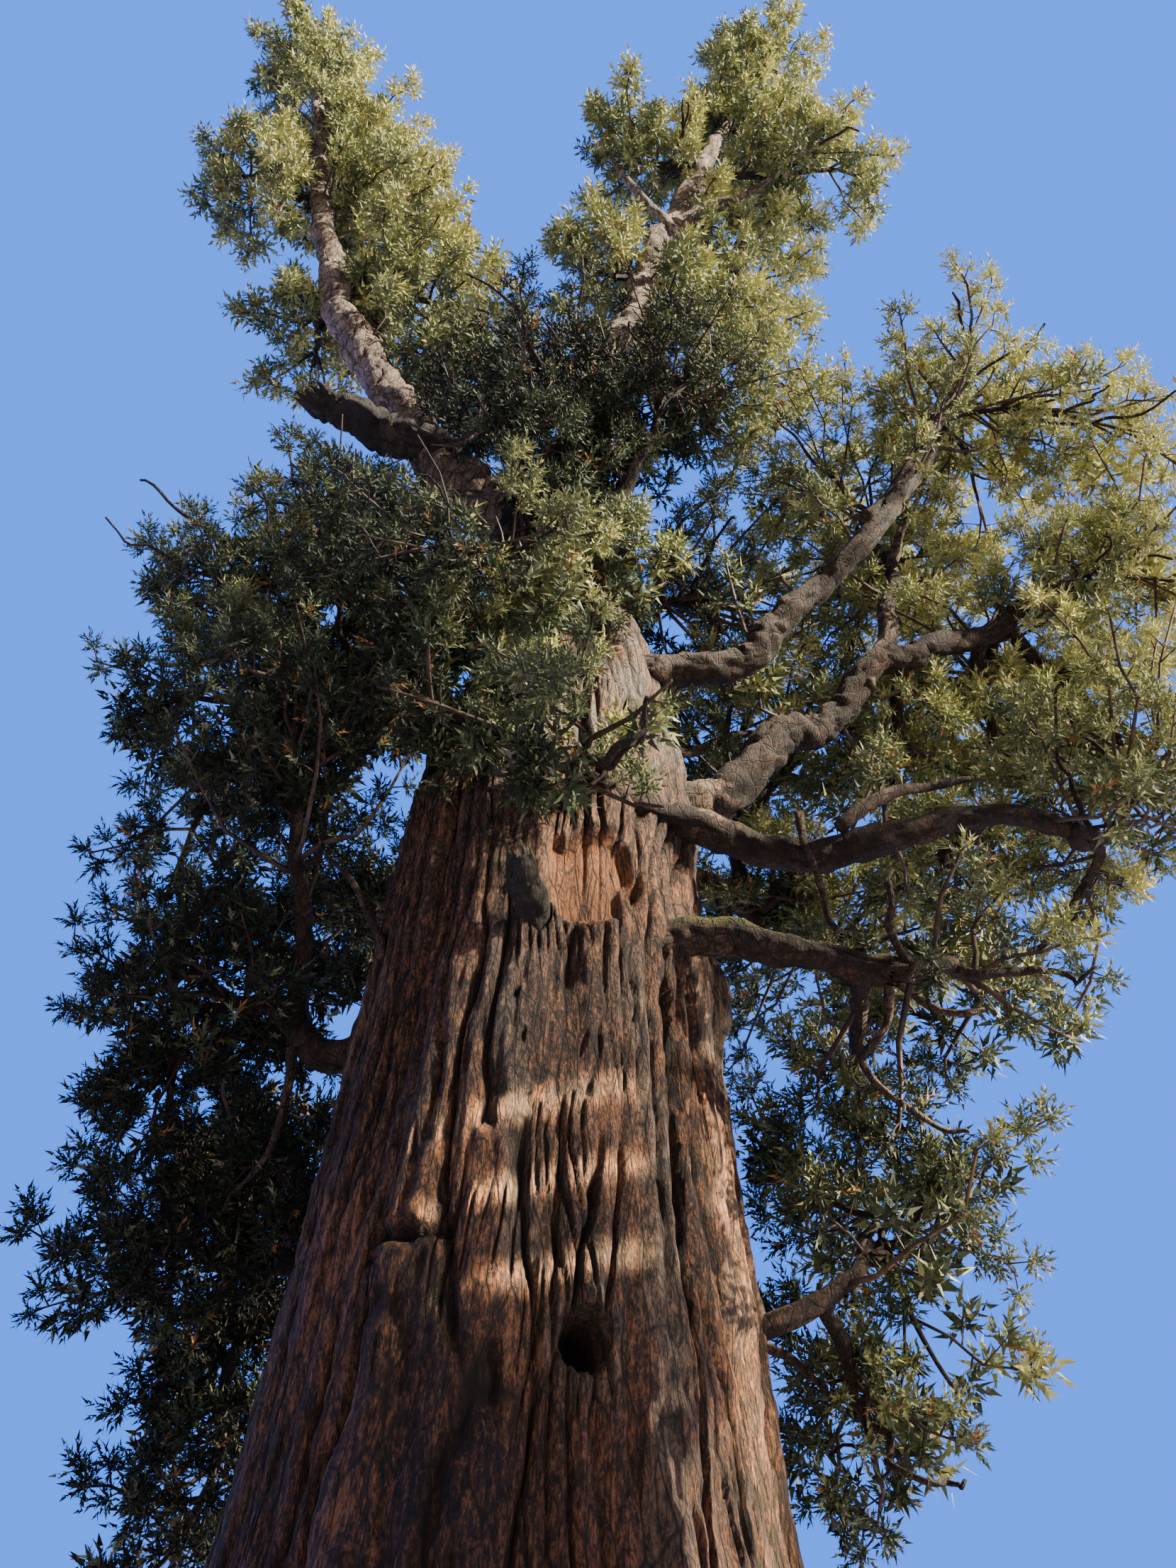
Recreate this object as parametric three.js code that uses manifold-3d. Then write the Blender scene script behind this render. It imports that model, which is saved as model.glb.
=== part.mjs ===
// A giant sequoia with a forked top: trunk, two leaders, boughs, a broken snag and masses of foliage.
// Millimetres, +Z up. The origin is on the level ground under the middle of the trunk.
// The tree is seen from -Y, with +X to the right.
import * as THREE from "three";
import { mergeVertices } from "three/addons/utils/BufferGeometryUtils.js";
import Module from "manifold-3d";

const wasm = await Module();
wasm.setup();

// The real tree is 64 m tall and the model five eighths of it, 40 m. Sizes below are metres of the model.
const METRE = 1000;
const CLEARANCE = 0.0003;
const GOLDEN_ANGLE = Math.PI * (3 - Math.sqrt(5));
const SEED = 64;

// Trunk: height, sideways place of the axis, and radius. The root flare is the first metre and a half.
const TRUNK_RINGS = [
  [0, 0, 2.95],
  [0.5, 0, 2.6],
  [1.4, 0, 2.28],
  [2.9, -0.03, 2.05],
  [4.5, 0, 1.92],
  [6.4, 0.05, 1.8],
  [8.1, 0.1, 1.68],
  [9.6, 0.12, 1.58],
  [10.7, 0.18, 1.44],
  [11.8, 0.25, 1.22],
  [13, 0.28, 1.02],
  [14.4, 0.12, 0.9],
  [15.6, -0.08, 0.8],
  [16.3, -0.12, 0.5],
];
const TRUNK_TOP = TRUNK_RINGS.at(-1)[0];
const TRUNK_SIDES = 60;
const TRUNK_STEPS = 20;
const TRUNK_STEP_GROWTH = 0.45;
const BUTTRESSES = 7;
const BUTTRESS_DEPTH = 0.07;
const BUTTRESS_HEIGHT = 2.5;
const BUTTRESS_TURN = 0.6;
const TRUNK_WAVE = 0.018;
const TRUNK_WAVES = 3;
const TRUNK_TWIST = 0.35;
// Ribs of bark run up the trunk. Each row: how many go round it, their depth as a share of the radius,
// and how they lean.
const RIBS = [
  { count: 9, depth: 0.016, turn: 1.3, lean: 0.25 },
  { count: 17, depth: 0.014, turn: 4, lean: -0.3 },
];
// A burl on the right side: angle round the trunk, height, half-width, half-height, and how far it stands out.
const BURL = { angle: -0.03, height: 7.55, wide: 0.42, tall: 0.5, out: 0.24 };
// The large knothole in the front: angle round the trunk, height, half-width, half-height and depth.
const KNOTHOLE = { angle: -1.265, height: 3.78, wide: 0.17, tall: 0.19, depth: 0.32 };
const KNOTHOLE_SIDES = 8;
const KNOTHOLE_STEPS = 6;

// Limbs: where each starts inside its parent, where its tip is, its radius at both ends, and how it bends.
// rise and side are the bow at mid length, upwards and sideways.
// ripple and wave are smaller bends that come back on themselves, upwards and sideways.
const LIMBS = {
  left_leader: { foot: [-0.15, 0, 15.2], tip: [-6.8, -0.7, 36.9], radii: [0.42, 0.05], side: 1.45, wave: 0.35 },
  right_leader: { foot: [0.05, 0, 15.2], tip: [5.1, -0.4, 37.8], radii: [0.43, 0.05], side: -0.35, wave: -0.1 },
  broken_snag: { foot: [-1.5, -0.1, 17.75], tip: [-3.95, -0.6, 18.95], radii: [0.24, 0.16], rise: -0.2 },
  right_upper_bough: { foot: [0.4, -0.2, 12.2], tip: [5.7, -1.2, 16.8], radii: [0.28, 0.08], rise: -1.7 },
  right_middle_bough: { foot: [0.6, -0.3, 9.1], tip: [7.3, -0.3, 14.3], radii: [0.3, 0.08], rise: 0.25 },
  right_middle_fork: { foot: [4, -0.33, 12], tip: [5, 0.2, 15.4], radii: [0.15, 0.08], side: -0.2 },
  right_lower_bough: { foot: [0.5, -0.9, 9], tip: [5.4, -1.2, 8.85], radii: [0.23, 0.1], ripple: 0.22 },
  right_broken_bough: { foot: [0.6, -0.9, 7.65], tip: [3.3, -1.4, 7.05], radii: [0.22, 0.14], rise: 0.22 },
  right_foot_bough: { foot: [0.6, -0.5, 3.8], tip: [2.9, -0.1, 5], radii: [0.13, 0.06] },
  left_upper_bough: { foot: [0, -0.1, 13.2], tip: [-3.7, -0.1, 14.4], radii: [0.24, 0.09], rise: 0.2 },
  left_middle_bough: { foot: [-0.4, -0.2, 10.6], tip: [-3, -0.5, 11.7], radii: [0.26, 0.1], rise: 0.2 },
  left_lower_bough: { foot: [-0.5, 0, 6.8], tip: [-2.9, 0.3, 7.8], radii: [0.24, 0.1], rise: -0.2 },
  left_foot_bough: { foot: [-0.6, 0.3, 5], tip: [-3, 1.5, 5.6], radii: [0.17, 0.07], rise: 0.15 },
  front_bough: { foot: [0, -0.3, 12.5], tip: [-0.4, -2.2, 11.9], radii: [0.18, 0.07], rise: 0.35 },
  centre_bough: { foot: [-0.1, -0.2, 14.2], tip: [1.5, -1.1, 16.7], radii: [0.22, 0.08], rise: -0.2 },
  back_right_bough: { foot: [0.3, 0.3, 9.3], tip: [3.1, 2.2, 10.3], radii: [0.28, 0.1], rise: 0.3 },
  back_upper_bough: { foot: [0, 0.2, 13.2], tip: [0.2, 2.7, 15.2], radii: [0.24, 0.09], rise: -0.2 },
  back_left_bough: { foot: [-0.2, 0.3, 9.8], tip: [-2.3, 2.8, 11.1], radii: [0.26, 0.1], rise: 0.3 },
};
const LIMB_SIDES = 7;
const LIMB_STEP = 1.1;
const LIMB_STEPS_LEAST = 3;
const LEADER_STEP = 1.9;
const LEADER_RISE = 10;
const TAPER = 0.8;

// Foliage on each limb and on the trunk: x, y and z of each mass's middle, its half-width and its half-height.
const FOLIAGE = {
  left_leader: [
    [-6.8, -0.6, 36.3, 1.7, 2.5],
    [-5.2, 0, 32, 1.9, 2.8],
    [-6.5, -0.9, 27.6, 1.3, 2.4],
    [-3.6, 0, 28.4, 1.7, 2.6],
    [-2.5, 0.4, 24.6, 1.8, 2.4],
    [-4.8, 0.8, 23.9, 1.4, 2.3],
    [-1.3, 0.4, 20.8, 1.5, 2],
  ],
  right_leader: [
    [5.2, -0.4, 37.75, 1.6, 2.55],
    [4.5, 0.2, 33.4, 1.9, 2.7],
    [1.8, -0.5, 30.4, 1.6, 2.5],
    [5.8, -0.6, 29.4, 1.5, 2.4],
    [3.8, 0.8, 27.2, 1.9, 2.5],
    [0.7, -0.4, 24.6, 1, 2],
    [3.2, 0.6, 22.6, 1.8, 2.5],
  ],
  centre_bough: [
    [2.1, -1.2, 18.3, 1.8, 1.7],
    [-0.2, -1.3, 18.6, 1.5, 1.5],
    [-0.5, -1.8, 15.2, 1.6, 1.5],
  ],
  front_bough: [[-0.7, -2.8, 11.3, 1.6, 1.5]],
  trunk: [
    [0.5, -2.7, 8.9, 0.9, 1.2],
    [2.9, 2.2, 16.9, 2.3, 2.1],
  ],
  right_upper_bough: [
    [8.3, -1, 16.9, 1.6, 1.5],
    [6.4, -1, 18.5, 1.7, 1.6],
  ],
  right_middle_fork: [[4.6, 0.6, 18.5, 1.9, 1.7]],
  right_middle_bough: [
    [8.3, -0.2, 14.5, 1.8, 1.7],
    [6, 1.4, 13.9, 2.1, 2],
  ],
  right_lower_bough: [[6.4, -0.9, 10.3, 1.8, 1.7]],
  right_broken_bough: [[4.2, -0.8, 7.3, 1.4, 1.4]],
  right_foot_bough: [
    [3.2, 0.5, 5.6, 1.3, 1.3],
    [2.9, 0.8, 3.8, 0.9, 0.9],
  ],
  left_upper_bough: [
    [-4.5, 0, 14.7, 1.7, 1.6],
    [-3.4, 0.4, 17, 1.7, 1.5],
  ],
  left_middle_bough: [
    [-3.9, -0.4, 11.7, 1.8, 1.7],
    [-2.1, -1.6, 13.2, 1.6, 1.5],
  ],
  left_lower_bough: [
    [-3.5, 0.5, 8.3, 1.8, 1.6],
    [-2.5, -1.6, 10, 1.4, 1.4],
  ],
  left_foot_bough: [
    [-3.6, 1.9, 5.9, 1.7, 1.5],
    [-3.1, 2.5, 3.8, 1.3, 1.2],
  ],
  back_right_bough: [
    [4, 2.9, 10.5, 2.1, 1.9],
    [2.9, 2.3, 13.6, 2.1, 1.9],
  ],
  back_upper_bough: [[0, 3.9, 16.1, 2, 1.9]],
  back_left_bough: [[-2.9, 3.8, 11.6, 2.1, 1.9]],
};
// A mass's stem leaves its limb at the nearest place between two shares of the limb's length.
// Each further mass on a bough leaves it a little nearer its foot.
const FIRST_STEM = 0.35;
const STEM_SPACING = 0.22;
const TRUNK_LAST_STEM = 0.92;
const TIP_STEM = 0.98;
const STEM_SIDES = 4;
const STEM_STEPS = 3;
const STEM_SHARE = 0.8;
const STEM_MOST = 0.11;
const STEM_TAPER = 0.7;
const STEM_LEAD = 0.4;
const STEM_PAST_MIDDLE = 0.45;

const CORE_SHARE = 0.6;
const CORE_LUMP = 0.2;
const CORE_SIDES = 6;
const CORE_STEPS = 3;

const SPRAYS_PER_METRE = 3.15;
const SPRAY_MOST = 7;
const SPRAY_HALF_WIDTH = 0.3;
const SPRAY_HALF_THICK = 0.04;
const SPRAY_ROLL = 0.9;
const SPRAY_TRIES = 5;
const SPRAY_SHORTER = 0.11;
const SPRAY_SPACE = 0.03;
const SPRAY_REACH = [0.92, 1];
const SPRAY_ROOTS = [0.72, 0.95];
const SPRAY_TEST = [0.45, 0.92];
// A spray's rim from its root to its tip: how far along its length, and how much of its half-width.
const SPRAY_TEETH = [
  [0.38, 0.18],
  [0.54, 1],
  [0.8, 0.7],
];

const END = 0.001;
const PATH_NUDGE = 0.01;
const SEARCH_STEPS = 100;
const TOUCH_STEPS = 8;

const BARK = { color: 0x7a4b34, roughness: 0.92, metalness: 0 };
const LEADER_BARK = { color: 0x94705a, roughness: 0.9, metalness: 0 };
const DEAD_WOOD = { color: 0x3b332d, roughness: 0.95, metalness: 0 };
const NEEDLES = { color: 0x5c6b37, roughness: 0.75, metalness: 0 };

// Every random choice comes from one seeded stream, so the tree is the same each time.
function randomStream(seed) {
  let state = seed;
  return () => {
    state = (state + 0x6d2b79f5) | 0;
    let mixed = Math.imul(state ^ (state >>> 15), 1 | state);
    mixed = (mixed + Math.imul(mixed ^ (mixed >>> 7), 61 | mixed)) ^ mixed;
    return ((mixed ^ (mixed >>> 14)) >>> 0) / 4294967296;
  };
}
const random = randomStream(SEED);
const between = (low, high) => low + (high - low) * random();
const clamp = (value) => Math.min(1, Math.max(0, value));

// A three.js shape as a solid that can be joined and cut, in millimetres.
function solidOf(geometry) {
  geometry.deleteAttribute("normal");
  geometry.deleteAttribute("uv");
  geometry.scale(METRE, METRE, METRE);
  const merged = mergeVertices(geometry, 1e-3);
  return new wasm.Manifold(
    new wasm.Mesh({
      numProp: 3,
      vertProperties: merged.attributes.position.array,
      triVerts: new Uint32Array(merged.index.array),
    }),
  );
}

// The largest body of a solid: what a cut leaves loose beside it is dropped.
function largestBody(solid) {
  return solid.decompose().reduce((best, body) => (body.volume() > best.volume() ? body : best));
}

function meshOf(name, solid, look) {
  const made = solid.getMesh();
  const geometry = new THREE.BufferGeometry();
  geometry.setAttribute("position", new THREE.BufferAttribute(made.vertProperties, made.numProp));
  geometry.setIndex(new THREE.BufferAttribute(made.triVerts, 1));
  geometry.computeVertexNormals();
  const mesh = new THREE.Mesh(geometry, new THREE.MeshStandardMaterial(look));
  mesh.name = name;
  return mesh;
}

// Moves every vertex of a shape to the place that a function gives for it.
function bent(geometry, placeOf) {
  const places = geometry.attributes.position;
  for (let i = 0; i < places.count; i++) {
    const place = placeOf(places.getX(i), places.getY(i), places.getZ(i));
    places.setXYZ(i, place.x, place.y, place.z);
  }
  return solidOf(geometry);
}

// A round bar along a path: point(t) and radius(t) run from 0 at its foot to 1 at its tip.
// grow makes it fatter and longer all round, for cutting its neighbours clear of it.
function bar(point, radius, sides, steps, grow = 0) {
  return bent(new THREE.CylinderGeometry(1, 1, 1, sides, steps), (x, y, z) => {
    const t = clamp(y + 0.5);
    const ahead = point(clamp(t + PATH_NUDGE)).sub(point(clamp(t - PATH_NUDGE))).normalize();
    const across = new THREE.Vector3(0, 1, 0).cross(ahead).normalize();
    const over = new THREE.Vector3().crossVectors(ahead, across);
    const fat = radius(t) + grow / Math.cos(Math.PI / sides);
    const longer = t > 1 - END ? grow : t < END ? -grow : 0;
    return point(t)
      .addScaledVector(ahead, longer)
      .addScaledVector(across, -x * fat)
      .addScaledVector(over, z * fat);
  });
}

// The trunk's axis and radius at a height, on straight lines between the rings.
function trunkAt(height) {
  const above = Math.max(1, TRUNK_RINGS.findIndex(([z]) => z >= height));
  const [lowZ, lowX, lowRadius] = TRUNK_RINGS[above - 1];
  const [highZ, highX, highRadius] = TRUNK_RINGS[above];
  const share = (height - lowZ) / (highZ - lowZ);
  return {
    x: THREE.MathUtils.lerp(lowX, highX, share),
    radius: THREE.MathUtils.lerp(lowRadius, highRadius, share),
  };
}

// The trunk's section isn't round: buttresses stand out at the ground and fade upwards, and ribs run up it.
function trunkSwell(angle, height) {
  const fade = Math.exp(-height / BUTTRESS_HEIGHT);
  const buttress = BUTTRESS_DEPTH * fade * Math.cos(BUTTRESSES * angle + BUTTRESS_TURN);
  const ribs = RIBS.reduce(
    (sum, { count, depth, turn, lean }) => sum + depth * (Math.cos(count * angle + turn + lean * height) - 1),
    0,
  );
  return 1 + buttress + ribs + TRUNK_WAVE * Math.sin(TRUNK_WAVES * angle + TRUNK_TWIST * height);
}

function burlOut(angle, height, radius) {
  const across = ((angle - BURL.angle) * radius) / BURL.wide;
  const up = (height - BURL.height) / BURL.tall;
  return BURL.out * Math.exp(-(across ** 2) - up ** 2);
}

// The trunk's rings lie closer together near the ground.
function trunk(grow = 0) {
  return bent(new THREE.CylinderGeometry(1, 1, 1, TRUNK_SIDES, TRUNK_STEPS), (x, y, z) => {
    const share = clamp(y + 0.5);
    const height = TRUNK_TOP * share * (1 - TRUNK_STEP_GROWTH + TRUNK_STEP_GROWTH * share);
    const angle = Math.atan2(-z, x);
    const { x: axis, radius } = trunkAt(height);
    const fat = radius * trunkSwell(angle, height) + burlOut(angle, height, radius) + grow;
    return new THREE.Vector3(axis + x * fat, -z * fat, height + (share > 1 - END ? grow : 0));
  });
}

// An oval hollow, turned to face outwards from the trunk's axis.
function knothole() {
  const { angle, height, wide, tall, depth } = KNOTHOLE;
  const { x: axis, radius } = trunkAt(height);
  const out = new THREE.Vector3(Math.cos(angle), Math.sin(angle), 0);
  const side = new THREE.Vector3(-out.y, out.x, 0);
  const middle = out.clone().multiplyScalar(radius).add(new THREE.Vector3(axis, 0, height));
  return bent(new THREE.SphereGeometry(1, KNOTHOLE_SIDES, KNOTHOLE_STEPS), (x, y, z) =>
    middle
      .clone()
      .addScaledVector(out, z * depth)
      .addScaledVector(side, x * wide)
      .add(new THREE.Vector3(0, 0, y * tall)),
  );
}

// A limb's path. A leader bows outwards from the tree, and a bough to one side of its own line.
function limbPath({ foot, tip, rise = 0, side = 0, ripple = 0, wave = 0 }) {
  const from = new THREE.Vector3(...foot);
  const to = new THREE.Vector3(...tip);
  const up = new THREE.Vector3(0, 0, 1);
  const leader = to.z - from.z > LEADER_RISE;
  const sideways = leader
    ? new THREE.Vector3(Math.sign(to.x - from.x), 0, 0)
    : up.clone().cross(to.clone().sub(from)).normalize();
  return (t) => {
    const bow = Math.sin(Math.PI * t);
    return from
      .clone()
      .lerp(to, t)
      .addScaledVector(up, rise * bow + ripple * Math.sin(3 * Math.PI * t))
      .addScaledVector(sideways, side * bow + wave * Math.sin(2 * Math.PI * t));
  };
}

function limbRadius([thick, thin]) {
  return (t) => thin + (thick - thin) * (1 - t) ** TAPER;
}

// How far along a path it comes nearest to a place, between two limits.
function nearest(point, target, low, high) {
  let best = low;
  for (let i = 0; i <= SEARCH_STEPS; i++) {
    const t = THREE.MathUtils.lerp(low, high, i / SEARCH_STEPS);
    if (point(t).distanceTo(target) < point(best).distanceTo(target)) best = t;
  }
  return best;
}

// A capsule stands for a piece when pieces are tested for touching: a straight line and a thickness.
function capsulesTouch(one, other, space) {
  const reach = one.radius + other.radius + space;
  const span = one.from.distanceTo(one.to) / 2 + other.from.distanceTo(other.to) / 2 + reach;
  const middles = one.from.clone().add(one.to).distanceTo(other.from.clone().add(other.to)) / 2;
  if (middles > span) return false;
  for (let i = 0; i <= TOUCH_STEPS; i++) {
    const place = one.from.clone().lerp(one.to, i / TOUCH_STEPS);
    const near = new THREE.Line3(other.from, other.to).closestPointToPoint(place, true, new THREE.Vector3());
    if (near.distanceTo(place) < reach) return true;
  }
  return false;
}

// A spray of needles: a thin closed blade from its root to its end, with a toothed rim.
// Its poles are the middles of the blade's two faces.
function spray(root, end, roll) {
  const length = root.distanceTo(end);
  const rim = SPRAY_TEETH.length * 2 + 2;
  const along = end.clone().sub(root).normalize();
  const across = new THREE.Vector3(-along.y, along.x, PATH_NUDGE).normalize().applyAxisAngle(along, roll);
  const over = new THREE.Vector3().crossVectors(along, across);
  return bent(new THREE.SphereGeometry(1, rim, 2), (x, y, z) => {
    const pole = Math.abs(y) > 0.5;
    const turn = Math.round((Math.atan2(z, x) / (2 * Math.PI)) * rim + rim) % rim;
    const near = turn <= rim / 2;
    const tooth = near ? turn : rim - turn;
    const [far, wide] = pole ? [0.5, 0] : (SPRAY_TEETH[tooth - 1] ?? [tooth ? 1 : 0, 0]);
    return root
      .clone()
      .addScaledVector(along, far * length)
      .addScaledVector(across, wide * SPRAY_HALF_WIDTH * length * (near ? 1 : -1))
      .addScaledVector(over, pole ? Math.sign(y) * SPRAY_HALF_THICK * length : 0);
  });
}

// The lumpy core that a mass's sprays stand out of.
function core(middle, width, height) {
  const phase = between(0, 2 * Math.PI);
  return bent(new THREE.SphereGeometry(1, CORE_SIDES, CORE_STEPS), (x, y, z) => {
    const lump = 1 + CORE_LUMP * Math.sin(3 * x + phase) * Math.cos(2.5 * z - phase);
    return new THREE.Vector3(x * width * lump, -z * width * lump, y * height * lump).add(middle);
  });
}

// Trunk and limbs, each cut clear of those before it. What the cuts need of each is kept in fats.
const tree = new THREE.Group();
const fats = [];
const limbs = {};
const limbCapsules = [];

function keepLimb(name, made, fat, look) {
  const cut = fats.reduce((rest, other) => rest.subtract(other), made);
  fats.push(fat);
  tree.add(meshOf(name, largestBody(cut), look));
}

function addCapsules(point, radius, count) {
  for (let i = 0; i < count; i++) {
    const [low, high] = [i / count, (i + 1) / count];
    limbCapsules.push({ from: point(low), to: point(high), radius: radius(low) });
  }
}

limbs.trunk = {
  point: (t) => new THREE.Vector3(trunkAt(TRUNK_TOP * t).x, 0, TRUNK_TOP * t),
  radius: (t) => trunkAt(TRUNK_TOP * t).radius,
};
keepLimb("trunk", trunk().subtract(knothole()), trunk(CLEARANCE), BARK);
addCapsules(limbs.trunk.point, limbs.trunk.radius, TRUNK_STEPS);

for (const [name, sizes] of Object.entries(LIMBS)) {
  const point = limbPath(sizes);
  const radius = limbRadius(sizes.radii);
  const leader = name.endsWith("leader");
  const long = point(0).distanceTo(point(1));
  const steps = Math.max(LIMB_STEPS_LEAST, Math.round(long / (leader ? LEADER_STEP : LIMB_STEP)));
  const made = bar(point, radius, LIMB_SIDES, steps);
  const fat = bar(point, radius, LIMB_SIDES, steps, CLEARANCE);
  keepLimb(name, made, fat, name === "broken_snag" ? DEAD_WOOD : leader ? LEADER_BARK : BARK);
  limbs[name] = { point, radius };
  addCapsules(point, radius, 2 * steps);
}

// The last place on a limb where the stem of its mass number i may leave it.
function lastStem(limbName, i) {
  if (limbName === "trunk") return TRUNK_LAST_STEM;
  return limbName.endsWith("bough") ? 1 - STEM_SPACING * i : 1;
}

// A mass's stem goes on from its limb, through the middle of the mass and some way past it.
// A stem that starts at a limb's tip goes on in the tip's own direction first.
function placedMass(limbName, [x, y, z, width, height], i) {
  const { point, radius } = limbs[limbName];
  const middle = new THREE.Vector3(x, y, z);
  const start = nearest(point, middle, FIRST_STEM, lastStem(limbName, i));
  const from = point(start);
  const thick = Math.min(STEM_MOST, STEM_SHARE * radius(start));
  const atTip = start > TIP_STEM;
  const leave = point(start).sub(point(start - 2 * PATH_NUDGE)).normalize();
  const bend = atTip ? from.clone().addScaledVector(leave, STEM_LEAD * from.distanceTo(middle)) : middle;
  const onward = middle.clone().sub(bend.clone().lerp(from, 0.5)).setLength(STEM_PAST_MIDDLE * width);
  const past = middle.clone().add(onward);
  const path = new THREE.QuadraticBezierCurve3(from, atTip ? bend : from.clone().lerp(past, 0.5), past);
  const wide = CORE_SHARE * width;
  const tall = CORE_SHARE * height;
  const rest = Math.max(0, tall - wide);
  const coreCapsule = {
    from: middle.clone().setZ(z - rest),
    to: middle.clone().setZ(z + rest),
    radius: wide * (1 + CORE_LUMP / 2),
  };
  const capsules = [{ from, to: past, radius: thick }, coreCapsule];
  return { name: `${limbName}_foliage_${i + 1}`, middle, width, height, path, thick, wide, tall, capsules };
}

// Every mass keeps to its own space: all stems and cores are placed first, and then the sprays.
const masses = Object.entries(FOLIAGE).flatMap(([limbName, rows]) =>
  rows.map((row, i) => placedMass(limbName, row, i)),
);

// A spray is tried a few times, shorter each time, and is skipped if it would touch a limb or another mass.
function clearSpray(mass, turn, slope) {
  const flat = Math.sqrt(1 - slope * slope);
  for (let attempt = 0; attempt < SPRAY_TRIES; attempt++) {
    const reach = between(...SPRAY_REACH) * (1 - SPRAY_SHORTER * attempt);
    const angle = turn + 0.2 * between(-attempt, attempt);
    const out = new THREE.Vector3(
      Math.cos(angle) * flat * mass.width,
      Math.sin(angle) * flat * mass.width,
      slope * mass.height,
    );
    const end = mass.middle.clone().addScaledVector(out, reach);
    const root = mass.path.getPoint(between(...SPRAY_ROOTS));
    const [near, far] = SPRAY_TEST.map((share) => root.clone().lerp(end, share));
    const capsule = { from: near, to: far, radius: SPRAY_HALF_WIDTH * root.distanceTo(end) };
    const others = masses.filter((other) => other !== mass).flatMap((other) => other.capsules);
    if ([...limbCapsules, ...others].every((other) => !capsulesTouch(capsule, other, SPRAY_SPACE))) {
      mass.capsules.push(capsule);
      return spray(root, end, between(-SPRAY_ROLL, SPRAY_ROLL));
    }
  }
  return null;
}

// Stem, core and sprays as one solid, with the sprays set round it by the golden angle.
function massSolid(mass) {
  const stemRadius = (t) => mass.thick * (1 - STEM_TAPER * t);
  let solid = bar((t) => mass.path.getPoint(t), stemRadius, STEM_SIDES, STEM_STEPS);
  solid = solid.add(core(mass.middle, mass.wide, mass.tall));
  const count = Math.min(SPRAY_MOST, Math.round(SPRAYS_PER_METRE * (mass.width + mass.height)));
  const start = between(0, 2 * Math.PI);
  for (let i = 0; i < count; i++) {
    const made = clearSpray(mass, start + i * GOLDEN_ANGLE, 1 - (2 * (i + 0.5)) / count);
    if (made) solid = solid.add(made);
  }
  return solid;
}

for (const mass of masses) {
  const clear = fats.reduce((rest, fat) => rest.subtract(fat), massSolid(mass));
  tree.add(meshOf(mass.name, largestBody(clear), NEEDLES));
}

export default tree;
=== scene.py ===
"""The looks of a giant sequoia with a forked top: bark, boughs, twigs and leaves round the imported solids.

Metres, +Z up, seen from -Y. The tree is 0.625 of its real size, as in the part's source.
"""

from math import acos, atan, atan2, cos, pi, radians, sin, sqrt

import bpy
import numpy as np
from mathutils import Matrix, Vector
from numpy.linalg import norm


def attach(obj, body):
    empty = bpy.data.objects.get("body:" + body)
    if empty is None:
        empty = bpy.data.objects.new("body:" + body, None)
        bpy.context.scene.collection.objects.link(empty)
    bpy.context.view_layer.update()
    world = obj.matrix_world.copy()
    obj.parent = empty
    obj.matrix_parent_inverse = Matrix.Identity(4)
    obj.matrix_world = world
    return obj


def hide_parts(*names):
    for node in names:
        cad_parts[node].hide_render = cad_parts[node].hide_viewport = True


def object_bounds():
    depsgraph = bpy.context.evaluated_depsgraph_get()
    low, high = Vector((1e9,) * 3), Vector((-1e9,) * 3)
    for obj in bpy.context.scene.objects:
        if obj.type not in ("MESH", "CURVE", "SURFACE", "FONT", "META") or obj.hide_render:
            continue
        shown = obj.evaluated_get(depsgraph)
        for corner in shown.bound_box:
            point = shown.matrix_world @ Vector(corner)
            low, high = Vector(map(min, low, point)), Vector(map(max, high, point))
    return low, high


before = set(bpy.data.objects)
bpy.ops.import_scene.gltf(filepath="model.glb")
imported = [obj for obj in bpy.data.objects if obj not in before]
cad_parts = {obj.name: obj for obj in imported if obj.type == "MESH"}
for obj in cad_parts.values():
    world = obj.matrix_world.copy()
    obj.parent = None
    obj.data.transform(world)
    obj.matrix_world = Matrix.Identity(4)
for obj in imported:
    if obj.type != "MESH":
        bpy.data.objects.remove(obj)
cad_low, cad_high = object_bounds()

SEED = 64
# Where each kind of piece's random streams start, and the step to the next piece.
LIMB_STREAM = 1000
LIMB_BARK_STREAM = 2000
STEM_STREAM = 5000
BRANCH_STREAM = 7000
STUB_STREAM = 7900
BRANCH_BARK_STREAM = 8000
STUB_BARK_STREAM = 8300
BARE_STREAM = 9000
STREAM_STEP = 10
GOLDEN_ANGLE = pi * (3 - sqrt(5))
# A limb that rises further is a leader, which bends in the plane that the photo shows.
LEADER_RISE = 10
UP = np.array([0.0, 0.0, 1.0])

# The trunk from the ground up, as in the part's source: heights, the axis's place sideways, and radii.
TRUNK_HEIGHTS = [0, 0.5, 1.4, 2.9, 4.5, 6.4, 8.1, 9.6, 10.7, 11.8, 13, 14.4, 15.6, 16.3]
TRUNK_AXIS = [0, 0, 0, -0.03, 0, 0.05, 0.1, 0.12, 0.18, 0.25, 0.28, 0.12, -0.08, -0.12]
TRUNK_RADII = [2.95, 2.6, 2.28, 2.05, 1.92, 1.8, 1.68, 1.58, 1.44, 1.22, 1.02, 0.9, 0.8, 0.5]
TRUNK_TOP = 16.3
TRUNK_CAP = 0.1
TRUNK_COLUMNS = 540
TRUNK_ROWS = 182
BUTTRESSES = 7
BUTTRESS_DEPTH = 0.07
BUTTRESS_HEIGHT = 2.5
TRUNK_WAVE = 0.018
# Ribs of bark that run up the trunk: how many, their depth as a share of the radius, and how they lean.
RIBS = [(9, 0.016, 1.3, 0.25), (17, 0.014, 4, -0.3)]


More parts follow.
